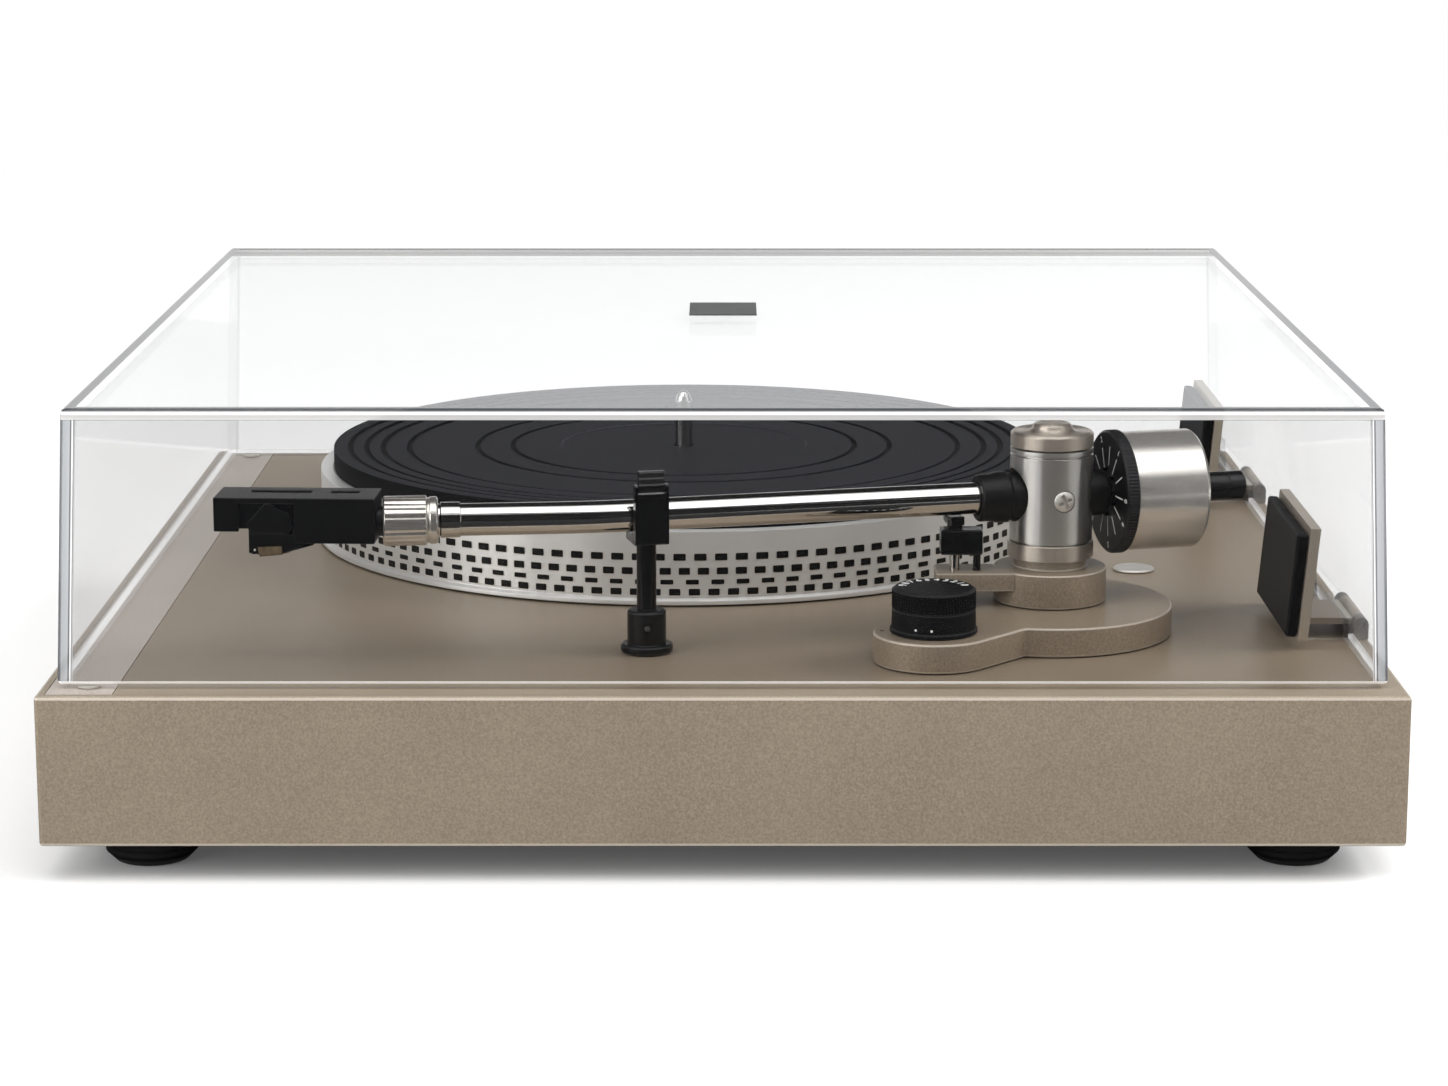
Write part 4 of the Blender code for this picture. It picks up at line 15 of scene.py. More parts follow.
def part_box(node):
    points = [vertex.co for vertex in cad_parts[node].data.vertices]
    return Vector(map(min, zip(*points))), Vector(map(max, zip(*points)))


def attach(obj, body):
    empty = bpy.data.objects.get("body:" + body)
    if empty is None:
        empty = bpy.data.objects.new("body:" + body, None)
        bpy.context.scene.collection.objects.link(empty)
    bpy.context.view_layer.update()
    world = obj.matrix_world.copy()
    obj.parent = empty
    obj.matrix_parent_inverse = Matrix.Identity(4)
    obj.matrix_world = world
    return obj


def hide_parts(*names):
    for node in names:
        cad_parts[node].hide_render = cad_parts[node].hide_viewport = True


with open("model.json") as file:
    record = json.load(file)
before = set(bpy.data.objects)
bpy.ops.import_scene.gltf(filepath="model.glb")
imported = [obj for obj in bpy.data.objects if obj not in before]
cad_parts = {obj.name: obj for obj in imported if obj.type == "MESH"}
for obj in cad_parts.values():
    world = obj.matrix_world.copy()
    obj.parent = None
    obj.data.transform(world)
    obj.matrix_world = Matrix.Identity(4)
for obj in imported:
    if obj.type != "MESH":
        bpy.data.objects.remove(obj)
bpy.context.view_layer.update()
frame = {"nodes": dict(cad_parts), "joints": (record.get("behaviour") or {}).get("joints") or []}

# %% [markdown]
# ## Where things are
# The solids already know where the deck, the platter and the arm's pivot are, so the lesson reads
# these from them and from the joints instead of typing them again. A piece that is modelled upright
# at the origin is then stood on its axis with one matrix, and its heights count from the deck.

# %% Read the main places
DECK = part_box("plinth_shell")[1].z
JOINTS = {joint["name"]: joint for joint in frame["joints"]}


def middle(node):
    low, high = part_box(node)
    return (low + high) / 2


def heights(node):
    """A solid's lowest and highest point, above the deck."""
    low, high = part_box(node)
    return low.z - DECK, high.z - DECK


def half_width(node):
    low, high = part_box(node)
    return (high.x - low.x) / 2


def stand(place, axis=(0, 0, 1), turn=0.0):
    """The matrix that stands a piece made at the origin on a place, with its Z along the axis."""
    tilt = Vector(axis).to_track_quat("Z", "Y").to_matrix().to_4x4()
    return Matrix.Translation(place) @ tilt @ Matrix.Rotation(turn, 4, "Z")


PLATTER = Vector((*middle("platter").xy, DECK))
PIVOT = Vector(JOINTS["arm_tilt"]["pos_m"])
FORWARD = Vector(JOINTS["rest_clip_close"]["axis"])
BACKWARD = -FORWARD
OUTWARD = Vector((-FORWARD.y, FORWARD.x, 0))
print("deck", DECK, "platter", PLATTER[:], "pivot", PIVOT[:])

# %% [markdown]
# ## Camera
# The photograph looks at the right-hand side from slightly above with a long lens. The same camera
# is given here: place, tilt and focal length were found by laying the solids over the photograph.

# %% Set the camera
bpy.ops.object.camera_add(
    location=(1.4098, 0.0004, 0.3627), rotation=(math.radians(78.22), 0, math.radians(90))
)
camera = bpy.context.object
camera.data.lens = 90.74
camera.data.sensor_width = 36
bpy.context.scene.camera = camera
print("camera", camera.location[:])

# %% [markdown]
# ## Hand tools
# Modelling operators act on whatever is selected, so each helper first selects its own piece only.
# Turned pieces start as a circle whose corners are moved onto the section and then spun, plates
# start as a filled circle moved onto their outline and then extruded. Both end with softened edges.

# %% Select, settle and soften
SHARP = math.radians(30)


def alone(*pieces):
    """Selects these pieces only, and makes the last of them active."""
    bpy.ops.object.select_all(action="DESELECT")
    for item in pieces:
        item.select_set(True)
    bpy.context.view_layer.objects.active = pieces[-1]


def settle(piece, name, place=Matrix.Identity(4)):
    """Names a piece, and writes its place into its mesh."""
    piece.name = piece.data.name = name
    piece.matrix_world = place @ piece.matrix_world
    alone(piece)
    bpy.ops.object.transform_apply(location=True, rotation=True, scale=True)
    return piece


def soften(piece, edge=0.0, segments=2):
    """Rounds the edges that turn by more than SHARP, and shades the rest smooth."""
    alone(piece)
    if edge:
        step = piece.modifiers.new("edge", "BEVEL")
        step.width = edge
        step.segments = segments
        step.limit_method = "ANGLE"
        step.angle_limit = SHARP
        bpy.ops.object.modifier_apply(modifier=step.name)
    bpy.ops.object.shade_smooth_by_angle(angle=SHARP)
    level = piece.modifiers.new("level", "WEIGHTED_NORMAL")
    level.keep_sharp = True
    bpy.ops.object.modifier_apply(modifier=level.name)


def edit(piece, *steps):
    """Runs steps in edit mode with everything selected before each one."""
    alone(piece)
    bpy.ops.object.mode_set(mode="EDIT")
    for step in steps:
        bpy.ops.mesh.select_all(action="SELECT")
        step()
    bpy.ops.object.mode_set(mode="OBJECT")


def outward():
    bpy.ops.mesh.normals_make_consistent(inside=False)


def weld():
    bpy.ops.mesh.remove_doubles(threshold=1e-6)
    bpy.ops.mesh.delete_loose()


# %% Turned pieces
def turned(name, section, place, edge=0.0, steps=96, segments=2):
    """A piece from the lathe. The section is a closed round of (radius, height) corners."""
    bpy.ops.object.select_all(action="DESELECT")
    bpy.ops.mesh.primitive_circle_add(vertices=len(section))
    piece = bpy.context.object
    for corner, (radius, height) in zip(piece.data.vertices, section):
        corner.co = (radius, 0, height)
    round_z = {"angle": 2 * math.pi, "center": (0, 0, 0), "axis": (0, 0, 1)}
    edit(piece, lambda: bpy.ops.mesh.spin(steps=steps, **round_z), weld, outward)
    soften(piece, edge, segments)
    return settle(piece, name, place)


def rod(name, radius, low, high, place, steps=96):
    """A plain round bar, mostly to cut a hole with."""
    return turned(name, [(0, low), (radius, low), (radius, high), (0, high)], place, 0, steps)


# %% Plates and prisms
def arc(x, y, radius, start, end, count):
    """Points of an arc, both ends included. The angles are in degrees."""
    angles = [math.radians(start + (end - start) * n / (count - 1)) for n in range(count)]
    return [(x + radius * math.cos(a), y + radius * math.sin(a)) for a in angles]


def plate(name, outline, low, high, place=Matrix.Identity(4), edge=0.0, segments=3):
    """An outline raised from one height to another."""
    bpy.ops.object.select_all(action="DESELECT")
    bpy.ops.mesh.primitive_circle_add(vertices=len(outline), fill_type="NGON")
    piece = bpy.context.object
    for corner, (x, y) in zip(piece.data.vertices, outline):
        corner.co = (x, y, low)
    rise = {"value": (0, 0, high - low)}
    edit(piece, lambda: bpy.ops.mesh.extrude_region_move(TRANSFORM_OT_translate=rise), outward)
    soften(piece, edge, segments)
    return settle(piece, name, place)


def block(name, low, high, place=Matrix.Identity(4), edge=0.0005, segments=2):
    """A block between two corners, with softened edges."""
    low, high = Vector(low), Vector(high)
    bpy.ops.object.select_all(action="DESELECT")
    bpy.ops.mesh.primitive_cube_add(size=1, location=(low + high) / 2, scale=high - low)
    piece = settle(bpy.context.object, name)
    soften(piece, edge, segments)
    return settle(piece, name, place)


# %% [markdown]
# A hole is cut with a piece of its own shape. A solid that already has the right form is copied, its
# triangles are merged into whole faces, and its edges are rounded.

# %% Cutting, joining and copying
def carve(piece, *tools):
    """Cuts the tools' shapes out of a piece, and removes the tools."""
    for tool in tools:
        alone(piece)
        step = piece.modifiers.new("cut", "BOOLEAN")
        step.object = tool
        step.solver = "EXACT"
        bpy.ops.object.modifier_apply(modifier=step.name)
        bpy.data.objects.remove(tool)


def merged(name, pieces):
    """Several pieces as one object."""
    alone(*pieces)
    bpy.ops.object.join()
    return settle(bpy.context.object, name)


def own_copy(piece):
    """A copy with its own mesh."""
    copy = piece.copy()
    copy.data = piece.data.copy()
    bpy.context.scene.collection.objects.link(copy)
    return copy


def fit(piece, body, look, slot, *nodes):
    """Gives a piece its look, its moving body and the solids that it stands for. The slot is not
    used.
    """
    piece.data.materials.clear()
    piece.data.materials.append(look.material)
    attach(piece, body)
    if nodes:
        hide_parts(*nodes)
    print(piece.name, "rides on", body, "with", len(piece.data.polygons), "faces")


def dressed(node, body, look, slot, edge, segments=2):
    """Fits a copy of a solid, with its triangles merged into whole faces and its edges softened."""
    piece = own_copy(frame["nodes"][node])
    piece.parent = None
    for key in list(piece.keys()):
        del piece[key]
    edit(piece, weld, lambda: bpy.ops.mesh.dissolve_limited(angle_limit=math.radians(1)))
    soften(piece, edge, segments)
    fit(settle(piece, node + "_finished"), body, look, slot, node)


# %% [markdown]
# ## Shader arithmetic
# A finish is easier to read as a formula than as a web of nodes. A Signal wraps one output socket,
# and its operators add the Math nodes. A Web makes every other node through one method. A Look is
# the web of one material, and writes colours as they are read off the photograph, from 0 to 255.

# %% Signals
class Signal:
    """A number or vector that varies over a surface."""

    def __init__(self, web, socket):
        self.web = web
        self.socket = socket

    def __add__(self, other):
        return self.web.maths("ADD", self, other)

    __radd__ = __add__

    def __sub__(self, other):
        return self.web.maths("SUBTRACT", self, other)

    def __rsub__(self, other):
        return self.web.maths("SUBTRACT", other, self)

    def __mul__(self, other):
        return self.web.maths("MULTIPLY", self, other)

    __rmul__ = __mul__

    def __gt__(self, other):
        return self.web.maths("GREATER_THAN", self, other)

    def __lt__(self, other):
        return self.web.maths("LESS_THAN", self, other)

    def __abs__(self):
        return self.web.maths("ABSOLUTE", self)


def set_stops(elements, stops):
    """Gives a ramp its stops. Each is a place from 0 to 1 and a colour."""
    while len(elements) < len(stops):
        elements.new(0.5)
    for element, (place, colour) in zip(elements, stops):
        element.position = place
    for element, (place, colour) in zip(elements, stops):
        element.color = (*colour, 1)


class Web:
    """The nodes of a material or of the world."""

    def __init__(self, tree):
        self.tree = tree

    def feed(self, socket, value):
        if isinstance(value, Signal):
            self.tree.links.new(value.socket, socket)
        else:
            socket.default_value = value

    def node(self, kind, settings=None, sockets=None, output=0):
        """Makes a node: its settings first, then the values or links of its sockets."""
        made = self.tree.nodes.new("ShaderNode" + kind)
        for key, value in (settings or {}).items():
            if key == "stops":
                set_stops(made.color_ramp.elements, value)
            else:
                setattr(made, key, value)
        for key, value in (sockets or {}).items():
            self.feed(made.inputs[key], value)
        return Signal(self, made.outputs[output])

    def maths(self, operation, *values):
        return self.node("Math", {"operation": operation}, dict(enumerate(values)))

    def seen_directly(self):
        """1 for the camera, mirrors and glass, and 0 for the light that falls on things."""
        seen = self.node("LightPath", output="Is Camera Ray")
        for ray in ("Is Glossy Ray", "Is Transmission Ray"):
            seen = self.maths("MAXIMUM", seen, self.node("LightPath", output=ray))
        return seen


# %% Looks
def linear(colour):
    """A colour from 0 to 255 as the shader's linear light."""
    parts = [v / 255 for v in colour]
    return tuple(((p + 0.055) / 1.055) ** 2.4 if p > 0.0404 else p / 12.92 for p in parts)


class Look(Web):
    """A material made of one Principled shader and the nodes that drive it."""

    def __init__(self, name, colour, roughness, metallic=0.0, **steady):
        self.material = bpy.data.materials.new(name)
        self.material.use_nodes = True
        super().__init__(self.material.node_tree)
        self.shader = self.tree.nodes["Principled BSDF"]
        self.drive("Base Color", (*linear(colour), 1))
        self.drive("Roughness", roughness)
        self.drive("Metallic", metallic)
        for socket, value in steady.items():
            self.drive(socket.replace("_", " "), value)

    def drive(self, socket, value):
        self.feed(self.shader.inputs[socket], value)

    def places(self, centre=(0, 0, 0), stretch=(1, 1, 1)):
        """The point's own coordinates, from a centre and stretched."""
        point = self.node("TexCoord", output="Object")
        shift = tuple(-c * s for c, s in zip(centre, stretch))
        return self.node("Mapping", None, {"Vector": point, "Location": shift, "Scale": stretch})

    def along(self, axis, centre=(0, 0, 0)):
        """One coordinate: 0 for X, 1 for Y, 2 for Z."""
        return self.node("SeparateXYZ", None, {"Vector": self.places(centre)}, output=axis)

    def grain(self, size, detail=2.0):
        """Soft noise about the middle 0, with grains of this size."""
        point = self.places(stretch=(1 / size,) * 3)
        sockets = {"Vector": point, "Scale": 1.0, "Detail": detail}
        return self.node("TexNoise", None, sockets) - 0.5

    def round(self, centre):
        """Distance from an upright axis."""
        flat = self.places(centre, (1, 1, 0))
        return self.node("VectorMath", {"operation": "LENGTH"}, {0: flat}, output="Value")

    def level(self):
        """1 on level faces and 0 on upright ones."""
        facing = self.node("TexCoord", output="Normal")
        return abs(self.node("SeparateXYZ", None, {"Vector": facing}, output=2))

    def slope(self):
        """0 on level and on upright faces, and 1/4 halfway between them."""
        level = self.level()
        return level * (1.0 - level)

    def tint(self, mask, colour):
        """Where the mask is 1, the base colour changes to this one."""
        socket = self.shader.inputs["Base Color"]
        linked = socket.is_linked
        below = Signal(self, socket.links[0].from_socket) if linked else socket.default_value
        above = colour if isinstance(colour, Signal) else (*linear(colour), 1)
        layers = {0: mask, 6: below, 7: above}
        self.feed(socket, self.node("Mix", {"data_type": "RGBA"}, layers, output=2))

    def bump(self, height, depth):
        """Relief: the height runs from 0 to 1, the depth is in metres."""
        sockets = {"Height": height, "Distance": depth, "Strength": 1.0}
        self.drive("Normal", self.node("Bump", None, sockets))


# %% [markdown]
# ## Painted metal
# The plinth, the arm's base and its collar share a champagne paint with fine metal flakes. One small
# noise is the flakes: it lightens and darkens the colour and changes how rough the surface is. A
# large soft noise keeps a wide flat side from looking like one flat colour. Where the surface is
# neither level nor upright, on the rounded edges, the colour is lighter: a painted highlight.

# %% Champagne paint
def flaked(name, colour, roughness, metallic=0.22):
    paint = Look(name, colour, roughness, metallic, Coat_Weight=0.12, Coat_Roughness=0.3)
    flakes = paint.grain(0.0008)
    cloud = paint.grain(0.045, detail=3.0)
    light = tuple(min(255, c * 1.28) for c in colour)
    dark = tuple(c * 0.66 for c in colour)
    paint.tint(paint.maths("MAXIMUM", flakes * 1.4 + cloud * 0.35, 0.0), light)
    paint.tint(paint.maths("MAXIMUM", flakes * -1.4 - cloud * 0.35, 0.0), dark)
    # Painted highlight: the colour is lighter on rounded edges, between level and upright faces.
    paint.tint(paint.slope() * 2.6, tuple(110 + c * 0.72 for c in colour))
    paint.drive("Roughness", roughness + flakes * 0.25)
    paint.bump(flakes, 0.00002)
    return paint


champagne = flaked("champagne paint", (146, 132, 114), 0.42)
strip_paint = flaked("strip paint", (182, 172, 163), 0.40)
print("paints:", champagne.material.name, strip_paint.material.name)

# %% [markdown]
# ## Bare metal
# Chrome reflects the room sharply, so it is left almost plain, with a faint haze of fine scratches.
# Brushed metal gets its lines from a noise that is stretched along the brush. On a turned piece the
# lines run round it, so the noise reads the height and the distance from the axis only.

# %% Chrome, brushed and satin metal
BRUSH_LINE, BRUSH_DEPTH = 0.00022, 0.000001


def chromed(name, colour, roughness, metallic=1.0):
    metal = Look(name, colour, roughness, metallic)
    haze = metal.grain(0.012, detail=4.0)
    metal.drive("Roughness", roughness + haze * 0.10)
    return metal


def round_brushed(name, colour, roughness, centre, metallic):
    """Lines that run round an upright axis. They spread a highlight upwards and downwards only."""
    metal = Look(name, colour, roughness, metallic, Anisotropic=0.9, Anisotropic_Rotation=0.25)
    height = metal.along(2) * (1 / BRUSH_LINE)
    across = metal.round(centre) * (1 / BRUSH_LINE)
    point = metal.node("CombineXYZ", None, {"X": height, "Y": across, "Z": 0.0})
    lines = metal.node("TexNoise", None, {"Vector": point, "Scale": 1.0, "Detail": 2.0}) - 0.5
    metal.drive("Roughness", roughness + lines * 0.1)
    metal.tint(metal.maths("MAXIMUM", lines * 0.8, 0.0), tuple(c * 0.84 for c in colour))
    metal.bump(lines, BRUSH_DEPTH)
    return metal


chrome = chromed("chrome", (226, 224, 221), 0.06)
bright = chromed("polished steel", (205, 203, 200), 0.16)
steel = chromed("plated steel", (150, 150, 150), 0.38)
brass = chromed("brass", (178, 150, 98), 0.30)
pale_metal = chromed("pale satin metal", (226, 222, 216), 0.50, 0.7)
turned_steel = chromed("turned steel", (236, 232, 226), 0.22, 0.80)
leaf_metal = chromed("hinge plate", (186, 176, 162), 0.36, 0.6)
nickel = chromed("nickel", (224, 220, 213), 0.20, 0.85)
rim_metal = round_brushed("brushed aluminium rim", (224, 223, 221), 0.36, PLATTER, 0.55)
pillar_metal = round_brushed("brushed steel pillar", (224, 222, 218), 0.32, PIVOT, 0.95)
satin = round_brushed("satin cap", (204, 194, 182), 0.40, PIVOT, 0.85)

# %% [markdown]
# ## Black plastics and rubber
# Glossy mouldings show a soft highlight with a trace of orange peel. Grained ones scatter it. The
# rubber mat is dull, and its colour is never one flat black.

# %% Plastics and rubber
def moulded(name, colour, roughness, grain, depth, shine=0.5):
    plastic = Look(name, colour, roughness, Specular_IOR_Level=shine)
    skin = plastic.grain(grain, detail=3.0)
    light = tuple(min(255, c * 1.5 + 6) for c in colour)
    plastic.tint(plastic.maths("MAXIMUM", skin * 1.3, 0.0), light)
    plastic.drive("Roughness", roughness + skin * 0.18)
    plastic.bump(skin, depth)
    return plastic


gloss_black = moulded("glossy black plastic", (14, 14, 15), 0.18, 0.004, 0.00001, 0.28)
satin_black = moulded("satin black plastic", (15, 15, 16), 0.34, 0.0012, 0.00001, 0.18)
grained_black = moulded("grained black plastic", (16, 16, 16), 0.40, 0.0009, 0.00010, 0.25)
rubber = moulded("black rubber", (22, 22, 23), 0.68, 0.0015, 0.00004, 0.3)
mat_rubber = moulded("mat rubber", (38, 38, 42), 0.62, 0.0022, 0.00002, 0.10)
# Painted highlight on the sloping edges of the steps, and painted shade on the upright walls of the
# grooves.
mat_rubber.tint(mat_rubber.slope() * 2.0, (84, 84, 90))
mat_rubber.tint(mat_rubber.level() < 0.35, (17, 17, 19))
cap_black = moulded("dull black plastic", (12, 12, 13), 0.50, 0.0012, 0.00001, 0.08)
# Painted highlight: the black mouldings are lighter on their rounded edges.
for plastic in (gloss_black, satin_black, cap_black):
    plastic.tint(plastic.slope() * 1.8, (62, 62, 64))
key_plastic = moulded("key plastic", (176, 170, 160), 0.34, 0.0012, 0.00001)
socket_plastic = moulded("socket plastic", (32, 32, 34), 0.42, 0.0010, 0.00003)
nylon = moulded("nylon", (214, 208, 190), 0.46, 0.0020, 0.00002)
white_ink = moulded("white ink", (236, 236, 234), 0.55, 0.0006, 0.00001)
magnet = moulded("ferrite", (58, 56, 56), 0.60, 0.0008, 0.00004)
guard = moulded("stylus guard", (92, 78, 58), 0.30, 0.0020, 0.00002)
print("plastics made:", len(bpy.data.materials))

# %% [markdown]
# ## Clear acrylic
# The cover is a box of clear sheet, and what one sees of it are its edges. A flat sheet is almost
# nothing. Where two sheets meet one looks along them, so there are bands as wide as the sheet is
# thick, with dark and bright lines, and grey ones along the sides of the top. These lines are painted
# reflections and painted shade: the shader paints them into the colour and the opacity by how far a
# point is from the cover's sides, and in the back half the corner lines are fainter. Each band is
# written as its place across the edge, its colour and how much it covers. At a shallow angle the
# sheet is painted whiter and less clear, a painted reflection of the room as a white haze, and a
# white line along the foot of each wall is a painted highlight.

# %% Acrylic
COVER_LOW, COVER_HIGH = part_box("dust_cover")
SHEET = 0.0038
LEAN = 0.0037
# Painted reflections and shade at the cover's edges. Each band: place across the edge, colour,
# coverage.
TOP_BANDS = (
    (0.00, (120, 122, 124), 0.30), (0.05, (84, 86, 88), 0.80), (0.20, (88, 90, 92), 0.80),
    (0.25, (250, 250, 250), 0.90), (0.50, (246, 246, 246), 0.85), (0.55, (186, 184, 182), 0.88),
    (0.88, (200, 198, 196), 0.85), (0.91, (240, 240, 240), 0.75), (0.96, (120, 121, 122), 0.80),
)
RIM_BANDS = (
    (0.00, (36, 38, 41), 0.95), (0.12, (60, 62, 66), 0.93), (0.84, (60, 62, 66), 0.93),
    (0.92, (40, 42, 45), 0.95),
)
CORNER_BANDS = (
    (0.08, (84, 86, 90), 0.92), (0.20, (98, 100, 104), 0.88), (0.28, (160, 163, 167), 0.86),
    (0.74, (172, 175, 179), 0.84), (0.80, (84, 86, 90), 0.90), (0.86, (92, 94, 98), 0.85),
    (0.92, (246, 246, 247), 0.85),
)
CORNER = SHEET * 1.2
FOOT_HIGHLIGHT_HEIGHT = 0.0014
SHEET_SHARE, PAINTED_REFLECTION_SHARE = 0.095, 0.22
BACK_FADE = 0.85


def acrylic(name):
    clear = Look(name, (32, 33, 34), 0.05, IOR=1.49)
    height = COVER_HIGH.z - COVER_LOW.z
    rise = clear.along(2, (0, 0, COVER_LOW.z))
    from_top = height - rise
    lean = rise * (LEAN / height)
    middle_y = (COVER_LOW.y + COVER_HIGH.y) / 2
    from_front = COVER_HIGH.x - abs(clear.along(0)) - lean
    from_side = COVER_HIGH.y - middle_y - abs(clear.along(1, (0, middle_y, 0))) - lean
    from_corner = clear.maths("MAXIMUM", from_front, from_side)
    from_edge = clear.maths("MINIMUM", from_front, from_side)
    near_wall = from_edge < SHEET * 0.5
    on_top = (clear.level() > 0.5) * (from_top < SHEET * 0.5)
    behind = clear.along(0) < 0.0
    # Painted reflection: at a shallow angle the sheet is painted whiter and less clear, as the
    # mirrored room.
    haze = clear.node("LayerWeight", {}, {"Blend": 0.5}, output="Facing")
    haze = haze * haze * haze * haze * haze
    share = SHEET_SHARE + haze * PAINTED_REFLECTION_SHARE
    clear.tint(clear.maths("MINIMUM", haze * 6, 1.0), (236, 238, 240))
    # Painted reflections and shade: the bands of dark, grey and bright lines along the corners, the
    # top edges and the rim of the top.
    for distance, width, bands, place in (
        (from_corner, CORNER, CORNER_BANDS, 1.0 - BACK_FADE * behind),
        (from_top, SHEET, TOP_BANDS, near_wall * (1.0 - on_top)),
        (from_edge, CORNER, RIM_BANDS, on_top),
    ):
        where = (distance < width) * place
        across = distance * (1 / width)
        shades = [(at, linear(colour)) for at, colour, part in bands]
        clear.tint(where, clear.node("ValToRGB", {"stops": shades}, {"Fac": across}))
        parts = [(at, (part,) * 3) for at, colour, part in bands]
        density = clear.node("ValToRGB", {"stops": parts}, {"Fac": across})
        share = share + where * (density - share)
    # Painted highlight: a white, nearly opaque line along the foot of the walls.
    foot = (rise < FOOT_HIGHLIGHT_HEIGHT) * near_wall
    clear.tint(foot, (255, 255, 255))
    clear.drive("Alpha", share + foot * (0.95 - share))
    return clear


clear = acrylic("clear acrylic")
soft_clear = Look("soft clear bumper", (206, 202, 192), 0.35, Alpha=0.65)
print("cover from", COVER_LOW[:], "to", COVER_HIGH[:])

# %% [markdown]
# ## Finishes for the solids that stay
# Most hidden and flat solids have the right shape already. They keep their mesh and only get a
# better material in their own slots.

# %% Dress the solids that stay
def paint_solid(look, *nodes):
    for node in nodes:
        materials = frame["nodes"][node].data.materials
        if not materials:
            materials.append(look.material)
        for index in range(len(materials)):
            materials[index] = look.material


board_look = moulded("circuit board", (36, 82, 52), 0.40, 0.0040, 0.00002)
paint_solid(champagne, "plinth_shell")
paint_solid(leaf_metal, "hinge_leaf_left", "hinge_leaf_right")
paint_solid(strip_paint, "front_strip")
paint_solid(steel, "rear_panel", "transformer", "motor_stator", "return_motor", "hinge_base_left",
            "hinge_base_right")
paint_solid(bright, "hinge_pin_left", "hinge_pin_right", "arm_shaft", "ground_post")
paint_solid(brass, "bearing_housing", "return_sector")
paint_solid(nylon, "return_gear")
paint_solid(magnet, "rotor_magnet")
paint_solid(board_look, "circuit_board")
paint_solid(socket_plastic, "bottom_cover", "mains_inlet", "phono_sockets")
paint_solid(soft_clear, "cover_bumper_left", "cover_bumper_right")

# %% [markdown]
# ## Platter
# The platter is a turned casting with a flange just over the deck. Its rim carries four rows of dark
# marks that seem to stand still under a mains-fed lamp when the speed is right. The rim is spun in
# one piece, and the marks are thin plates laid round it, because each keeps a crisp edge that way.

# %% Turn the platter
RIM_LOW, RIM_TOP = heights("platter")
FLANGE = half_width("platter")
RIM = 0.147
HUB, HUB_LOW = 0.016, 0.0152
SPINDLE_HOLE = 0.0039
platter_section = [
    (RIM - 0.0050, RIM_TOP - 0.0006), (RIM - 0.0050, RIM_TOP), (RIM, RIM_TOP),
    (RIM, RIM_LOW + 0.0034), (RIM - 0.0004, RIM_LOW + 0.0030), (RIM - 0.0004, RIM_LOW + 0.0022),
    (FLANGE, RIM_LOW + 0.0016), (FLANGE, RIM_LOW), (RIM - 0.0045, RIM_LOW),
    (RIM - 0.0045, RIM_TOP - 0.0061), (HUB, RIM_TOP - 0.0061), (HUB, HUB_LOW),
    (SPINDLE_HOLE, HUB_LOW), (SPINDLE_HOLE, RIM_TOP - 0.0006),
]
platter = turned("platter_casting", platter_section, stand(PLATTER), 0.0004, 240)
fit(platter, "turning_platter", rim_metal, "platter", "platter")

# %% [markdown]
# One mark is modelled once: a rounded plate, so short that it can stay flat. It is copied round the
# rim, each row with its own count, and the copies are joined into one piece. A larger and thinner
# plate under each mark is its light border. A row is written as its count, height, width and depth.

# %% Lay the strobe marks
ROWS = ((120, 0.0187, 0.0046, 0.0026), (131, 0.0134, 0.0042, 0.0026),
        (98, 0.0093, 0.0048, 0.0018), (127, 0.0055, 0.0042, 0.0025))
MARK_CORNER, MARK_SUNK = 0.00035, 0.00016


def rounded_box(width, height, radius, count=3):
    x, y = width / 2 - radius, height / 2 - radius
    corners = ((x, y, 0), (-x, y, 90), (-x, -y, 180), (x, -y, 270))
    return [p for cx, cy, a in corners for p in arc(cx, cy, radius, a, a + 90, count)]


def strobe_row(name, count, height, width, depth, phase, border, thickness):
    """One row of plates round the rim."""
    outline = rounded_box(width + 2 * border, depth + 2 * border, MARK_CORNER + border)
    mark = plate(name, outline, 0.0, thickness)
    marks = []
    for mark_number in range(count):
        angle = 2 * math.pi * (mark_number + phase) / count
        way = Vector((math.cos(angle), math.sin(angle), 0))
        turn = Matrix((Vector((-way.y, way.x, 0)), (0, 0, 1), way)).transposed().to_4x4()
        place = Matrix.Translation(PLATTER + way * (RIM - MARK_SUNK) + Vector((0, 0, height)))
        marks.append(own_copy(mark))
        marks[-1].data.transform(place @ turn)
    bpy.data.objects.remove(mark)
    return merged(name, marks)


def strobe(name, border, thickness):
    rows = [strobe_row("row", *row, n / 4, border, thickness) for n, row in enumerate(ROWS)]
    return merged(name, rows)


fit(strobe("strobe_borders", 0.00030, 0.00021), "turning_platter", pale_metal, "platter")
fit(strobe("strobe_marks", 0.0, 0.00026), "turning_platter", satin_black, "black")

# %% [markdown]
# ## Mat
# The rubber mat steps down towards the middle in wide rings, with a groove at each step that is
# darkened with painted shade. Its section is written from the edge inwards, so a ring can be moved
# by one number. The spindle is spun the same way, with a rounded tip.

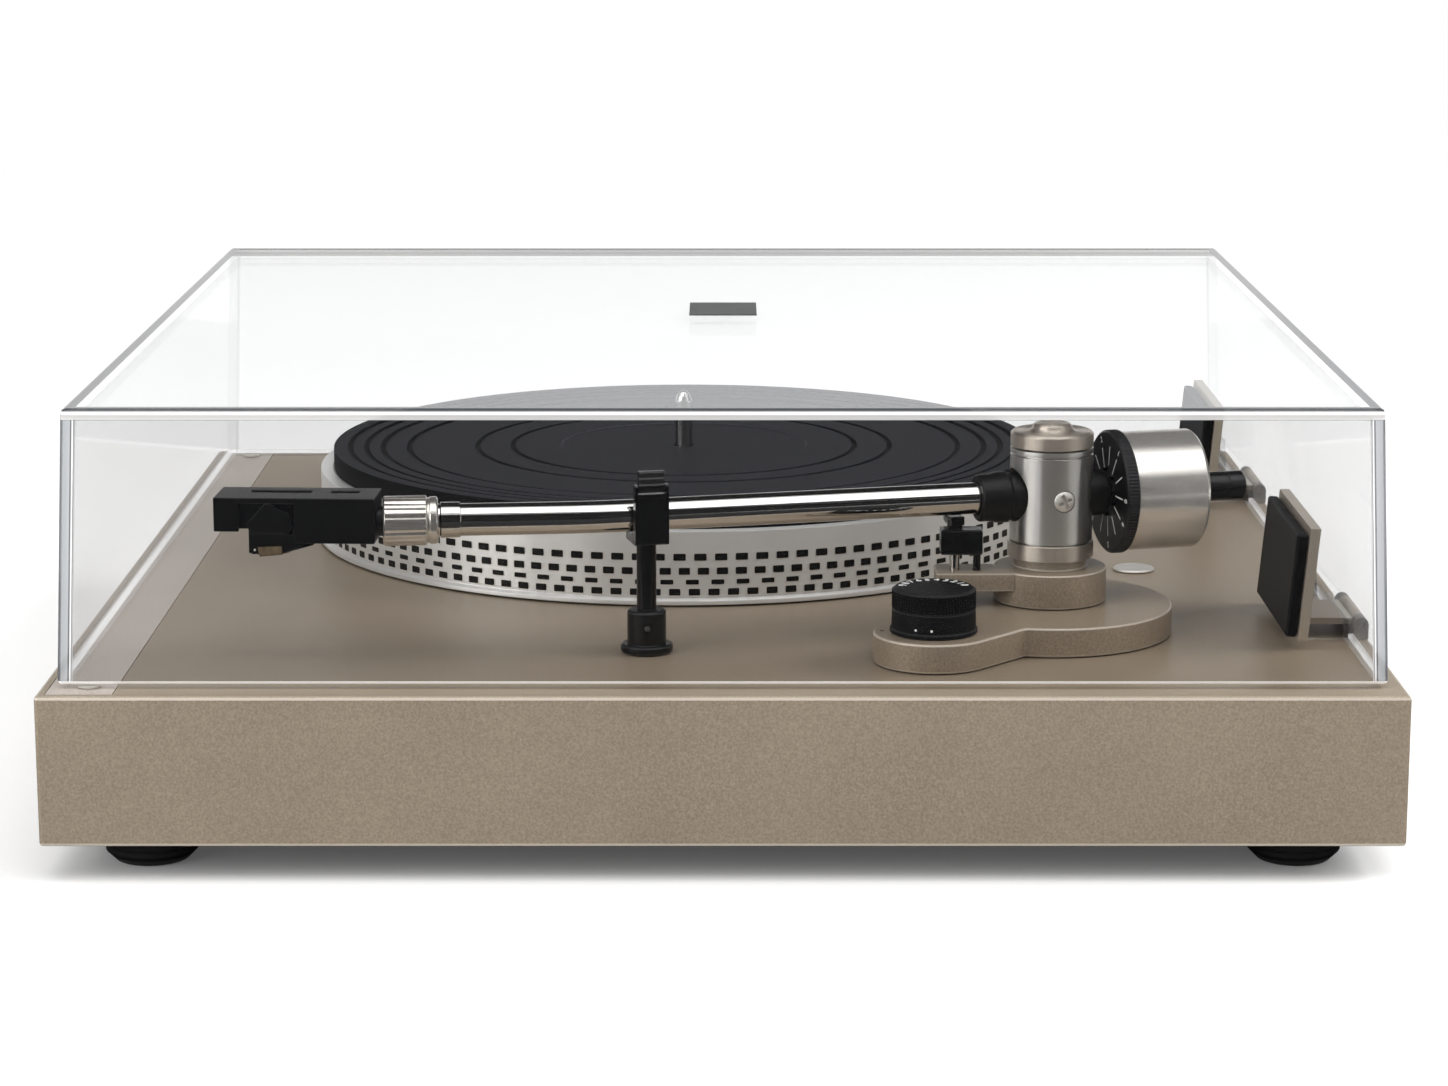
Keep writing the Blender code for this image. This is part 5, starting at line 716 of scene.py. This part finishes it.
# %% Spin the mat
MAT_RADIUS = half_width("platter_mat")
MAT_LOW, MAT_TOP = heights("platter_mat")
GROOVE, STEP = 0.0010, 0.00027
LAST_STEP = 4
RINGS = ((0.953, 0), (0.907, 1), (0.86, 2), (0.785, 3), (0.59, LAST_STEP), (0.49, LAST_STEP))
mat_section = [(MAT_RADIUS, MAT_LOW), (MAT_RADIUS, MAT_TOP)]
from_axis = mat_rubber.round(PLATTER)
for share, step in RINGS:
    groove = MAT_RADIUS * share
    outer = MAT_TOP - step * STEP
    inner = outer - (STEP if step < LAST_STEP else 0.0)
    mat_section += [(groove + 0.0012, outer), (groove + 0.0009, outer - GROOVE)]
    mat_section += [(groove - 0.0008, outer - GROOVE), (groove - 0.0012, inner)]
    # Painted shade: a dark ring over each groove.
    mat_rubber.tint(abs(from_axis - groove) < 0.0012, (19, 19, 21))
label = mat_section[-1][1]
mat_section += [(0.050, label), (0.0495, label - 0.0005)]
mat_section += [(SPINDLE_HOLE, label - 0.0005), (SPINDLE_HOLE, MAT_LOW)]
mat = turned("mat", mat_section, stand(PLATTER), 0.0002, 240)
fit(mat, "turning_platter", mat_rubber, "mat", "platter_mat")

low, top = heights("spindle")
radius = half_width("spindle")
spindle_section = [(0, top), (0.0011, top - 0.0002), (0.0021, top - 0.0010), (0.0029, top - 0.0024)]
spindle_section += [(radius, top - 0.0046), (radius, low), (0, low)]
spindle = turned("spindle_finished", spindle_section, stand(PLATTER), 0.0002, 48)
fit(spindle, "turning_platter", bright, "bright", "spindle")

# %% [markdown]
# ## Arm base
# The casting is a disc with a smaller lobe for the side-force knob. The two arcs meet in a crease on
# both sides, so the outline is drawn from two arcs and raised with a rounded top edge.

# %% Raise the base
base_low, base_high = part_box("arm_base")
BASE_TOP = base_high.z
BASE = Vector((PIVOT.x + 0.003, PIVOT.y - 0.0015, 0))
KNOB = Vector((*middle("antiskate_knob").xy, 0))
DISC, LOBE, LOBE_REACH = 0.045, 0.021, 0.0648
bearing = math.atan2(KNOB.y - BASE.y, KNOB.x - BASE.x)
crease = math.degrees(math.asin(LOBE / DISC))
base_outline = arc(LOBE_REACH, 0, LOBE, -90, 90, 49) + arc(0, 0, DISC, crease, 360 - crease, 129)
base_place = Matrix.Translation(BASE) @ Matrix.Rotation(bearing, 4, "Z")
base = plate("base_casting", base_outline, base_low.z, BASE_TOP, base_place, 0.0009, 4)
knob_well = rod("well", 0.0033, 0, 0.02, stand((*KNOB.xy, BASE_TOP - 0.006)))
sleeve_well = rod("well", 0.0083, -0.01, 0.02, stand((*PIVOT.xy, base_low.z)))
carve(base, knob_well, sleeve_well)
soften(base)
fit(base, "plinth", champagne, "champagne", "arm_base")

# %% [markdown]
# The collar under the pillar is turned in two steps: a wide one on the base, and a narrower neck that
# the pillar's ring runs over.

# %% Turn the collar
radius = half_width("pivot_collar")
low, top = heights("pivot_collar")
seat = BASE_TOP - DECK + 0.0003
SHAFT_HOLE = 0.0043
collar_section = [
    (SHAFT_HOLE, top), (0.013, top), (0.013, top - 0.0034), (radius, top - 0.0034),
    (radius, seat), (0.008, seat), (0.008, low), (SHAFT_HOLE, low),
]
upright = stand((*PIVOT.xy, DECK))
collar = turned("collar_finished", collar_section, upright, 0.0007, 128, 3)
fit(collar, "plinth", champagne, "champagne", "pivot_collar")
dressed("lifter_bracket", "plinth", champagne, "champagne", 0.0004)

# %% [markdown]
# ## Pillar
# The arm turns with a polished pillar. It has a ring at its foot, a fine groove under the cap, two
# windows where the arm passes through, and a screw on each side that holds the tilting bearing.

# %% Turn the pillar and cut its windows
foot, crown = heights("pivot_pillar")
ring = foot + 0.0056
BORE, PILLAR, WAIST = 0.0113, 0.0148, 0.0138
pillar_section = [
    (BORE, crown), (PILLAR, crown), (PILLAR, crown - 0.0016), (WAIST, crown - 0.0017),
    (WAIST, crown - 0.0023), (PILLAR, crown - 0.0024), (PILLAR, ring + 0.0006),
    (0.0136, ring + 0.0005), (0.0136, ring - 0.0010), (SHAFT_HOLE, ring - 0.0010),
    (SHAFT_HOLE, ring + 0.003), (BORE, ring + 0.003),
]
pillar = turned("pillar_finished", pillar_section, upright, 0.00014, 128)


def window(side, lift):
    """A tall slot with round ends, from the axis outwards to one side."""
    top, bottom = (0.00156, 0) if lift else (0, -0.00156)
    outline = arc(0, top, 0.009, 0, 180, 24) + arc(0, bottom, 0.009, 180, 360, 24)
    return plate("window", outline, 0, 0.018, stand(PIVOT, side))


carve(pillar, window(FORWARD, True), window(BACKWARD, False))
for way in (OUTWARD, -OUTWARD):
    carve(pillar, rod("hole", 0.004, 0.0057, 0.018, stand(PIVOT, way), 48))
soften(pillar)
fit(pillar, "arm_yoke", pillar_metal, "brushed", "pivot_pillar")
ring_section = [
    (SHAFT_HOLE, ring - 0.0011), (0.0140, ring - 0.0011), (0.0140, ring), (0.0154, ring),
    (0.0154, foot), (SHAFT_HOLE, foot),
]
fit(turned("pillar_ring", ring_section, upright, 0.00025, 128, 3), "arm_yoke", satin, "satin")

# %% [markdown]
# The cap is a satin disc with a low boss, and the screws are cross-headed.

# %% Cap and pivot screws
low, top = heights("pillar_cap")
disc = top - 0.0026
cap_section = [
    (0, top), (0.0062, top), (0.0069, top - 0.0005), (0.0073, disc + 0.0008), (0.0085, disc),
    (0.0139, disc), (PILLAR, disc - 0.0008), (PILLAR, low + 0.0023), (0.0110, low + 0.0023),
    (0.0110, low), (0, low),
]
cap = turned("cap_finished", cap_section, upright, 0.0003, 128, 3)
fit(cap, "arm_yoke", satin, "satin", "pillar_cap")


def cross(place, size, depth):
    """Two crossed bars, to sink a driver's recess."""
    slim = size / 4.2
    halves = ((size, slim), (slim, size))
    return [block("recess", (-x, -y, -depth), (x, y, depth), place, 0.0) for x, y in halves]


screw_section = [
    (0, 0.0154), (0.0022, 0.0153), (0.0031, 0.0150), (0.0038, 0.0144), (0.0038, 0.0118),
    (0.0022, 0.0118), (0.0022, 0.0085), (0, 0.0070),
]
for node, way in (("pivot_screw_outer", OUTWARD), ("pivot_screw_inner", -OUTWARD)):
    screw = turned(node + "_head", screw_section, stand(PIVOT, way), 0.0001, 64)
    top_face = stand(PIVOT + way * 0.0153, way, 0.4)
    carve(screw, *cross(top_face, 0.0026, 0.0016))
    soften(screw)
    fit(screw, "arm_yoke", pale_metal, "screw", node)

# %% [markdown]
# ## Arm
# The tube is chromed and bends slightly towards the record. A flat grid is rolled round the centre
# line from one station to the next, so that the tube stays perfectly round through the bend.

# %% Sweep the tube
BEND_START, BEND_RADIUS, BEND_ANGLE, FRONT = 0.155003, 0.1655, math.radians(9), 0.0593
TUBE, SLEEVE = 0.00565, 0.0062
ARM = Matrix.Translation(PIVOT) @ Matrix.Rotation(math.atan2(FORWARD.x, -FORWARD.y), 4, "Z")


def arm_station(distance):
    """Place and heading of the tube's centre line, in the arm's own frame."""
    turn = min(max((distance - BEND_START) / BEND_RADIUS, 0.0), BEND_ANGLE)
    beyond = max(distance - BEND_START - BEND_RADIUS * BEND_ANGLE, 0.0)
    x = -BEND_RADIUS * (1 - math.cos(turn)) - beyond * math.sin(turn)
    y = -min(distance, BEND_START) - BEND_RADIUS * math.sin(turn) - beyond * math.cos(turn)
    return Matrix.Translation((x, y, 0)) @ Matrix.Rotation(-turn, 4, "Z")


def swept(name, stops):
    """A round bar with closed ends. Each stop is a distance along the centre line and a radius."""
    sides = 64
    bpy.ops.object.select_all(action="DESELECT")
    bpy.ops.mesh.primitive_grid_add(x_subdivisions=sides, y_subdivisions=len(stops) - 1, size=1)
    piece = bpy.context.object
    for index, corner in enumerate(piece.data.vertices):
        row, column = divmod(index, sides + 1)
        angle = 2 * math.pi * column / sides
        distance, radius = stops[row]
        corner.co = arm_station(distance) @ (Vector((math.cos(angle), 0, math.sin(angle))) * radius)
    edit(piece, weld, lambda: bpy.ops.mesh.fill_holes(sides=0), outward)
    soften(piece)
    return settle(piece, name, ARM)


bend = BEND_RADIUS * BEND_ANGLE
end = BEND_START + bend + FRONT
stops = [(0.0165, TUBE), (0.08, TUBE), (BEND_START, TUBE)]
stops += [(BEND_START + bend * n / 16, TUBE) for n in range(1, 17)]
stops += [(end - 0.0268, TUBE), (end - 0.0266, 0.0061), (end - 0.0262, SLEEVE)]
stops += [(end - 0.0200, SLEEVE), (end - 0.0196, TUBE), (end - 0.0053, TUBE)]
fit(swept("tube_finished", stops), "arm", chrome, "chrome", "arm_tube")

# %% [markdown]
# The black coupling holds the tube in front of the pillar and the shaft of the counterweight behind
# it. It passes through both windows. Its flare stays clear of the pillar when the arm is lifted.

# %% Turn the coupling, the shaft and the counterweight
arm_line = stand(PIVOT, FORWARD)
coupling_section = [
    (0, 0.0162), (0.0060, 0.0162), (0.0060, 0.0280), (0.0079, 0.0280), (0.0085, 0.0273),
    (0.0085, 0.0236), (0.0091, 0.0214), (0.0092, 0.0176), (0.0085, 0.0166), (0.0085, 0.0),
    (0.0083, -0.0045), (0.0083, -0.0185), (0.0078, -0.0199), (0.0068, -0.0207),
    (0.0056, -0.0207), (0.0056, -0.0132), (0, -0.0132),
]
coupling = turned("coupling_body", coupling_section, arm_line, 0.0002)
trunnion_section = [
    (0, -0.0067), (0.0026, -0.0067), (0.0026, -0.0100), (0.0045, -0.0100),
    (0.0045, 0.0100), (0.0026, 0.0100), (0.0026, 0.0067), (0, 0.0067),
]
trunnion = turned("trunnion", trunnion_section, stand(PIVOT, OUTWARD), 0.0001, 48)
fit(merged("coupling_finished", [trunnion, coupling]), "arm", grained_black, "black", "arm_coupling")

stub_section = [
    (0, -0.0136), (0.0053, -0.0136), (0.0053, -0.0660), (0.0050, -0.0663), (0.0050, -0.0668),
    (0.0053, -0.0671), (0.0053, -0.0723), (0.0046, -0.0730), (0, -0.0730),
]
stub = turned("stub_finished", stub_section, arm_line, 0.0001, 64)
fit(stub, "arm", gloss_black, "gloss_black", "counterweight_shaft")

weight_section = [
    (0.0185, -0.0259), (0.0214, -0.0259), (0.0214, -0.0519), (0.0206, -0.0529), (0.0056, -0.0529),
    (0.0056, -0.0309), (0.0185, -0.0309),
]
weight = turned("weight_finished", weight_section, arm_line, 0.0002, 160)
fit(weight, "weight", turned_steel, "chrome", "counterweight")

# %% [markdown]
# ## Force dial
# The dial shows how far the counterweight has been screwed in. Its rim is knurled: after the lathe,
# the points of the rim are moved in and out in a wave. Its face carries short and long lines and
# plain numbers, which are text turned to mesh and laid round the face.

# %% Knurl a rim
RIM_ZONE = 0.0009


def knurled(name, section, place, low, high, count, depth, edge=0.0, per_flute=6):
    """A turned piece whose rim is fluted lengthwise between two heights."""
    piece = turned(name, section, Matrix.Identity(4), edge, count * per_flute)
    reach = max(radius for radius, height in section)
    for corner in piece.data.vertices:
        radius = math.hypot(corner.co.x, corner.co.y)
        if radius > reach - RIM_ZONE and low <= corner.co.z <= high:
            wave = abs(math.sin(math.atan2(corner.co.y, corner.co.x) * count / 2))
            shrink = (radius - depth * (1 - wave)) / radius
            corner.co.x *= shrink
            corner.co.y *= shrink
    soften(piece)
    return settle(piece, name, place)


dial_section = [
    (0.0090, -0.0212), (0.0213, -0.0212), (0.0222, -0.0219), (0.0222, -0.0253), (0.0219, -0.0256),
    (0.0056, -0.0256), (0.0056, -0.0230), (0.0090, -0.0230),
]
dial = knurled("dial_finished", dial_section, arm_line, -0.0253, -0.0219, 110, 0.00025, 0.0001, 5)
fit(dial, "dial", satin_black, "black", "force_dial")

# %% Lay lines and numbers round a face
def line(inner, outer, angle, width, place):
    """A thin printed line between two radii."""
    turn = place @ Matrix.Rotation(angle, 4, "Z")
    half = width / 2
    return block("line", (inner, -half, -0.00005), (outer, half, 0.00006), turn, 0.00002, 1)


def number(text, radius, angle, size, place):
    """A plain number whose foot points to the middle of the face."""
    bpy.ops.object.select_all(action="DESELECT")
    bpy.ops.object.text_add()
    piece = bpy.context.object
    piece.data.body = text
    piece.data.size = size
    piece.data.align_x = "CENTER"
    piece.data.align_y = "CENTER"
    piece.data.extrude = 0.00004
    piece.data.offset = 0.00006
    piece.data.resolution_u = 3
    bpy.ops.object.convert(target="MESH")
    turn = Matrix.Rotation(angle, 4, "Z") @ Matrix.Translation((radius, 0, 0))
    turn = turn @ Matrix.Rotation(-math.pi / 2, 4, "Z")
    return settle(bpy.context.object, "number", place @ turn)


dial_face = stand(PIVOT + BACKWARD * 0.0212, FORWARD)
DIAL_LINES = 13
marks = []
for n in range(DIAL_LINES):
    angle = 2 * math.pi * n / DIAL_LINES
    inner, outer = (0.0098, 0.0168) if n % 2 else (0.0088, 0.0160)
    marks.append(line(inner, outer, angle, 0.00046, dial_face))
    if n % 2 == 0:
        marks.append(number(str(n // 2), 0.0190, angle, 0.0030, dial_face))
fit(merged("dial_marks", marks), "dial", white_ink, "black")

# %% [markdown]
# ## Locking collar and headshell
# A fluted chrome collar clamps the headshell. The shell is a folded channel with long slots in its
# roof, and the cartridge hangs under it. Their solids are already faceted as the real ones are, so
# they are copied, their edges softened, and small parts are added to them.

# %% Collar
LOCK = JOINTS["lock_collar_turn"]
LOCK_FACE = Vector(LOCK["pos_m"])
lock_line = stand(LOCK_FACE, LOCK["axis"])
lock_section = [
    (0.0060, 0), (0.0080, 0), (0.0087, -0.0006), (0.0087, -0.0148), (0.0084, -0.0151),
    (0.0078, -0.0153), (0.0078, -0.0158), (0.0082, -0.0163), (0.0082, -0.0184),
    (0.0076, -0.0190), (0.0060, -0.0190),
]
lock = knurled("lock_finished", lock_section, lock_line, -0.0147, -0.0008, 20, 0.00055, 0.00015, 12)
fit(lock, "headshell_lock", nickel, "chrome", "lock_collar")

# %% Headshell and cartridge
shell_turn = math.atan2(LOCK["axis"][0], -LOCK["axis"][1]) - math.radians(8)
SHELL = Matrix.Translation(LOCK_FACE) @ Matrix.Rotation(shell_turn, 4, "Z")
dressed("headshell", "arm", satin_black, "black", 0.0004, 3)
dressed("cartridge", "arm", gloss_black, "black", 0.0004)
dressed("stylus", "arm", guard, "stylus", 0.0001, 1)


def side_plates(name, outline, inner, outer, look, edge=0.0003):
    """A plate on each side of the shell's middle. The outline is written as (forward, up)."""
    flat = [(-up, -forward) for forward, up in outline]
    place = SHELL @ Matrix.Rotation(math.pi / 2, 4, "Y")
    sides = ((inner, outer), (-outer, -inner))
    pair = [plate(name, flat, low, high, place, edge, 2) for low, high in sides]
    fit(merged(name, pair), "arm", look, "black")


side_plates("cartridge_bridge", [
    (0.0492, 0.0073), (0.0398, 0.0073), (0.0440, -0.0016), (0.0492, -0.0016),
], 0.0040, 0.0078, satin_black)
side_plates("cartridge_cheeks", [
    (0.0372, 0.0070), (0.0312, 0.0040), (0.0302, -0.0012), (0.0318, -0.0030), (0.0446, -0.0030),
    (0.0460, 0.0002), (0.0396, 0.0072),
], 0.0079, 0.0092, satin_black, 0.0004)
side_plates("cartridge_foot", [
    (0.0452, -0.0033), (0.0262, -0.0033), (0.0238, -0.0060), (0.0330, -0.0098), (0.0444, -0.0104),
], 0.0079, 0.0087, satin_black)
side_plates("stylus_guard", [
    (0.0422, -0.0078), (0.0338, -0.0074), (0.0336, -0.0104), (0.0416, -0.0112),
], 0.0081, 0.0091, guard)
pin_section = [(0, -0.0004), (0.00038, -0.0004), (0.00038, 0.0001), (0, 0.0003)]
pins = []
for side in (1, -1):
    seat = SHELL @ Matrix.Translation((side * 0.0088, -0.0432, -0.0088))
    seat = seat @ Matrix.Rotation(side * math.pi / 2, 4, "Y")
    pins.append(turned("pin", pin_section, seat, 0, 16))
fit(merged("cartridge_pins", pins), "arm", pale_metal, "bright")

# %% [markdown]
# ## Arm rest
# A black post with a sleeve carries a forked rest. The sleeve is held by a small grub screw, which
# the photograph shows on the near side, so a round hole is sunk there and a socket screw put into it.

# %% Post, fork and clip
rest = middle("arm_rest_post").xy
top = heights("arm_rest_post")[1]
post_section = [
    (0, top), (0.00345, top), (0.00345, 0.0154), (0.0060, 0.0154), (0.00685, 0.0147),
    (0.00685, 0.0033), (0.0085, 0.0033), (0.0092, 0.0028), (0.0092, 0.0008), (0.0088, 0.0003),
    (0, 0.0003),
]
post = turned("rest_post_finished", post_section, stand((*rest, DECK)), 0.00025, 96, 3)
seat = stand((*rest, DECK + 0.0095), Vector((1, 0.06, 0)).normalized())
carve(post, rod("hole", 0.0012, 0.0052, 0.009, seat, 24))
soften(post)
fit(post, "plinth", gloss_black, "gloss_black", "arm_rest_post")
grub_section = [
    (0, 0.0053), (0.0011, 0.0053), (0.0011, 0.0064), (0.0006, 0.0066), (0.0006, 0.0058), (0, 0.0058),
]
fit(turned("rest_grub_screw", grub_section, seat, 0.00005, 6), "plinth", steel, "steel")
dressed("arm_rest_cradle", "plinth", gloss_black, "gloss_black", 0.0006, 3)
dressed("arm_rest_clip", "rest_clip", gloss_black, "gloss_black", 0.0002)

# %% [markdown]
# ## Lifter
# The cueing lifter raises the tube on an arc. Its solid has the right form, so a copy of it gets
# rounded edges. A bright sleeve is added where its shaft leaves the bracket.

# %% Lifter
dressed("cue_lifter", "lifter", gloss_black, "black", 0.0005, 3)
LIFTER_REACH = 0.036
place = stand((*(PIVOT + FORWARD * LIFTER_REACH).xy, 0.0838))
sleeve_section = [(0.00162, 0), (0.00182, 0), (0.00182, 0.0095), (0.00162, 0.0095)]
fit(turned("lifter_sleeve", sleeve_section, place, 0.00004, 32), "lifter", bright, "bright")

# %% [markdown]
# ## Side-force knob
# The knob has a ribbed grip above a smooth skirt, a flat top and plain numbers round the far half of
# it. A dot on the casting is the index.

# %% Knob
low = BASE_TOP + 0.0003 - DECK
top = low + 0.0156
grip_low, grip_high = top - 0.0070, top - 0.0010
knob_section = [
    (0, top - 0.0002), (0.0133, top), (0.0146, grip_high), (0.0146, grip_low),
    (0.0142, top - 0.0072), (0.0142, top - 0.0075), (0.0145, top - 0.0078),
    (0.0147, low + 0.0016), (0.0152, low + 0.0012), (0.0152, low), (0.003, low),
    (0.003, low - 0.0057), (0, low - 0.0057),
]
place = stand((*KNOB.xy, DECK))
knob = knurled("knob_finished", knob_section, place, grip_low, grip_high, 84, 0.0003, 0.0001, 4)
fit(knob, "antiskate", cap_black, "black", "antiskate_knob")

face = Matrix.Translation((*KNOB.xy, DECK + top + 0.00002))
marks = []
for n in range(10):
    marks.append(number(str(n), 0.0108, math.radians(102 + 17.5 * n), 0.0040, face))
for turn in (math.radians(-28), math.radians(-6)):
    way = Vector((math.cos(turn), math.sin(turn), 0))
    place = stand((*KNOB.xy, DECK + low + 0.0030), way)
    marks.append(rod("dot", 0.0004, 0.0144, 0.01475, place, 20))
fit(merged("knob_marks", marks), "antiskate", white_ink, "black")
place = stand((KNOB.x - 0.001, KNOB.y - 0.0178, BASE_TOP))
dot = rod("knob_index_dot", 0.0007, -0.0001, 0.00006, place, 24)
fit(dot, "plinth", satin_black, "black")

# %% [markdown]
# ## Small parts on the deck and under it
# The transit screw's head is a bright disc. One foot is turned and copied to the four corners, and
# the keys get softened edges.

# %% Transit screw, feet and keys
top = heights("transit_screw")[1]
disc_section = [
    (0, top - 0.0002), (0.0066, top - 0.0002), (0.0069, top), (0.0075, top), (0.00795, 0.0007),
    (0.00795, 0.0003), (0.003, 0.0003), (0.003, -0.012), (0, -0.012),
]
place = stand((*middle("transit_screw").xy, DECK))
disc = turned("transit_screw_finished", disc_section, place, 0.0001)
fit(disc, "plinth", pale_metal, "bright", "transit_screw")

foot_section = [
    (0, 0.0117), (0.0148, 0.0117), (0.0148, 0.0098), (0.0160, 0.0080), (0.0160, 0.0060),
    (0.0155, 0.0055), (0.0160, 0.0050), (0.0160, 0.0036), (0.0125, 0), (0.006, 0),
    (0.005, 0.0008), (0, 0.0008),
]
foot = turned("foot", foot_section, Matrix.Identity(4), 0.0003)
for node in ("foot_front_right", "foot_front_left", "foot_back_left", "foot_back_right"):
    place = stand((*middle(node).xy, 0))
    fit(settle(own_copy(foot), node + "_finished", place), "plinth", rubber, "rubber", node)
bpy.data.objects.remove(foot)
for name in ("start", "stop", "speed", "cue"):
    dressed(name + "_key", name, key_plastic, "key", 0.0004)

# %% [markdown]
# ## Hinges and badge
# Each hinge has a black cap plate inside the cover. On the real cover the plates and a badge carry
# words. Here they stay bare, with the same finish.

# %% Hinge caps and badge
for side in ("left", "right"):
    dressed("hinge_cap_" + side, "cover", cap_black, "black", 0.0006, 3)
dressed("dust_cover", "cover", clear, "clear", 0.0)
badge_look = chromed("badge plate", (126, 127, 128), 0.45)
top = COVER_HIGH.z
corners = (-0.0368, -0.0132, top - 0.0001), (-0.0032, 0.0132, top + 0.0004)
badge = block("cover_badge", *corners, edge=0.0002)
fit(badge, "cover", badge_look, "black")

# %% [markdown]
# ## Floor, light and background
# The photograph has a white background with a soft shadow. The floor is lit like the object, and a
# little light of its own, which only the camera, mirrors and glass see, lifts it to white. It is
# weak near the object, where the lamps and the shadow are, and stronger far away.

# %% Floor
bpy.ops.object.select_all(action="DESELECT")
bpy.ops.mesh.primitive_plane_add(size=60, location=(0, 0, -0.0004))
floor = settle(bpy.context.object, "floor")
floor_look = Look("studio floor", (240, 240, 240), 0.9, Emission_Strength=1.0)
spread = floor_look.round((0.25, 0, 0)) * (1 / 2.5)
fall = floor_look.maths("POWER", spread * spread + 1.0, -2.0)
floor_look.drive("Emission Color", floor_look.seen_directly() * (0.43 - 0.37 * fall))
floor.data.materials.append(floor_look.material)

# %% [markdown]
# The room round the object is one even white. It is dimmer as a light than it is to the eye, so
# that the lamps still draw shadows.

# %% World
FILL = 0.62
world = bpy.data.worlds.new("studio")
bpy.context.scene.world = world
world.use_nodes = True
room = Web(world.node_tree)
background = room.tree.nodes["Background"]
background.inputs["Color"].default_value = (1, 1, 1, 1)
room.feed(background.inputs["Strength"], FILL + room.seen_directly() * (1 - FILL))
print("fill", FILL)

# %% [markdown]
# Large soft lamps draw the long highlights on the metal. Chrome looks like chrome only when it has
# something dark to mirror, so photographers stand black cards round it. These are seen by mirror-like
# surfaces only: they draw the dark lines on the tube and take no light from the object.

# %% Lamps and cards
def lamp(name, place, aim, size, power, mirrored=True):
    """A soft lamp, and whether metal and glass show it."""
    bpy.ops.object.light_add(type="AREA", location=place)
    light = bpy.context.object
    light.name = name
    light.data.shape = "RECTANGLE"
    light.data.size, light.data.size_y = size
    light.data.energy = power
    light.rotation_euler = (Vector(aim) - Vector(place)).to_track_quat("-Z", "Y").to_euler()
    light.visible_glossy = mirrored


def card(name, place, aim, size):
    """A dark card that only reflections see."""
    bpy.ops.object.select_all(action="DESELECT")
    bpy.ops.mesh.primitive_plane_add(size=1)
    flag = bpy.context.object
    flag.data.materials.append(card_black.material)
    turn = (Vector(aim) - Vector(place)).to_track_quat("Z", "Y").to_matrix().to_4x4()
    settle(flag, name, Matrix.Translation(place) @ turn @ Matrix.Diagonal((*size, 1, 1)))
    flag.visible_camera = flag.visible_diffuse = flag.visible_shadow = False


card_black = Look("black card", (26, 26, 27), 0.9)
lamp("overhead", (0.65, 0.0, 1.5), (0.1, 0, 0.05), (2.2, 1.3), 16)
lamp("front_left", (1.1, -1.4, 0.75), (0, 0, 0.1), (1.5, 1.0), 16)
lamp("right_fill", (0.0, 1.5, 0.95), (0, 0.15, 0.08), (0.9, 0.9), 26, mirrored=False)
card("card_front", (2.4, 0.0, 1.1), (0, 0, 1.1), (5.0, 2.2))
card("card_low", (1.5, 0.0, 0.002), (1.5, 0.0, 1.0), (5.0, 1.8))
card("card_right", (-1.0, 2.0, 0.6), (-1.0, 0, 0.6), (3.2, 1.6))
card("card_left", (-0.7, -2.0, 0.6), (-0.7, 0, 0.6), (1.8, 1.6))
card("card_over", (-1.3, 0.0, 1.6), (0.0, 0, 0.0), (5.0, 2.4))
print("lamps:", len(bpy.data.lights))

# %% Finish
scene = bpy.context.scene
scene.view_settings.view_transform = "Standard"
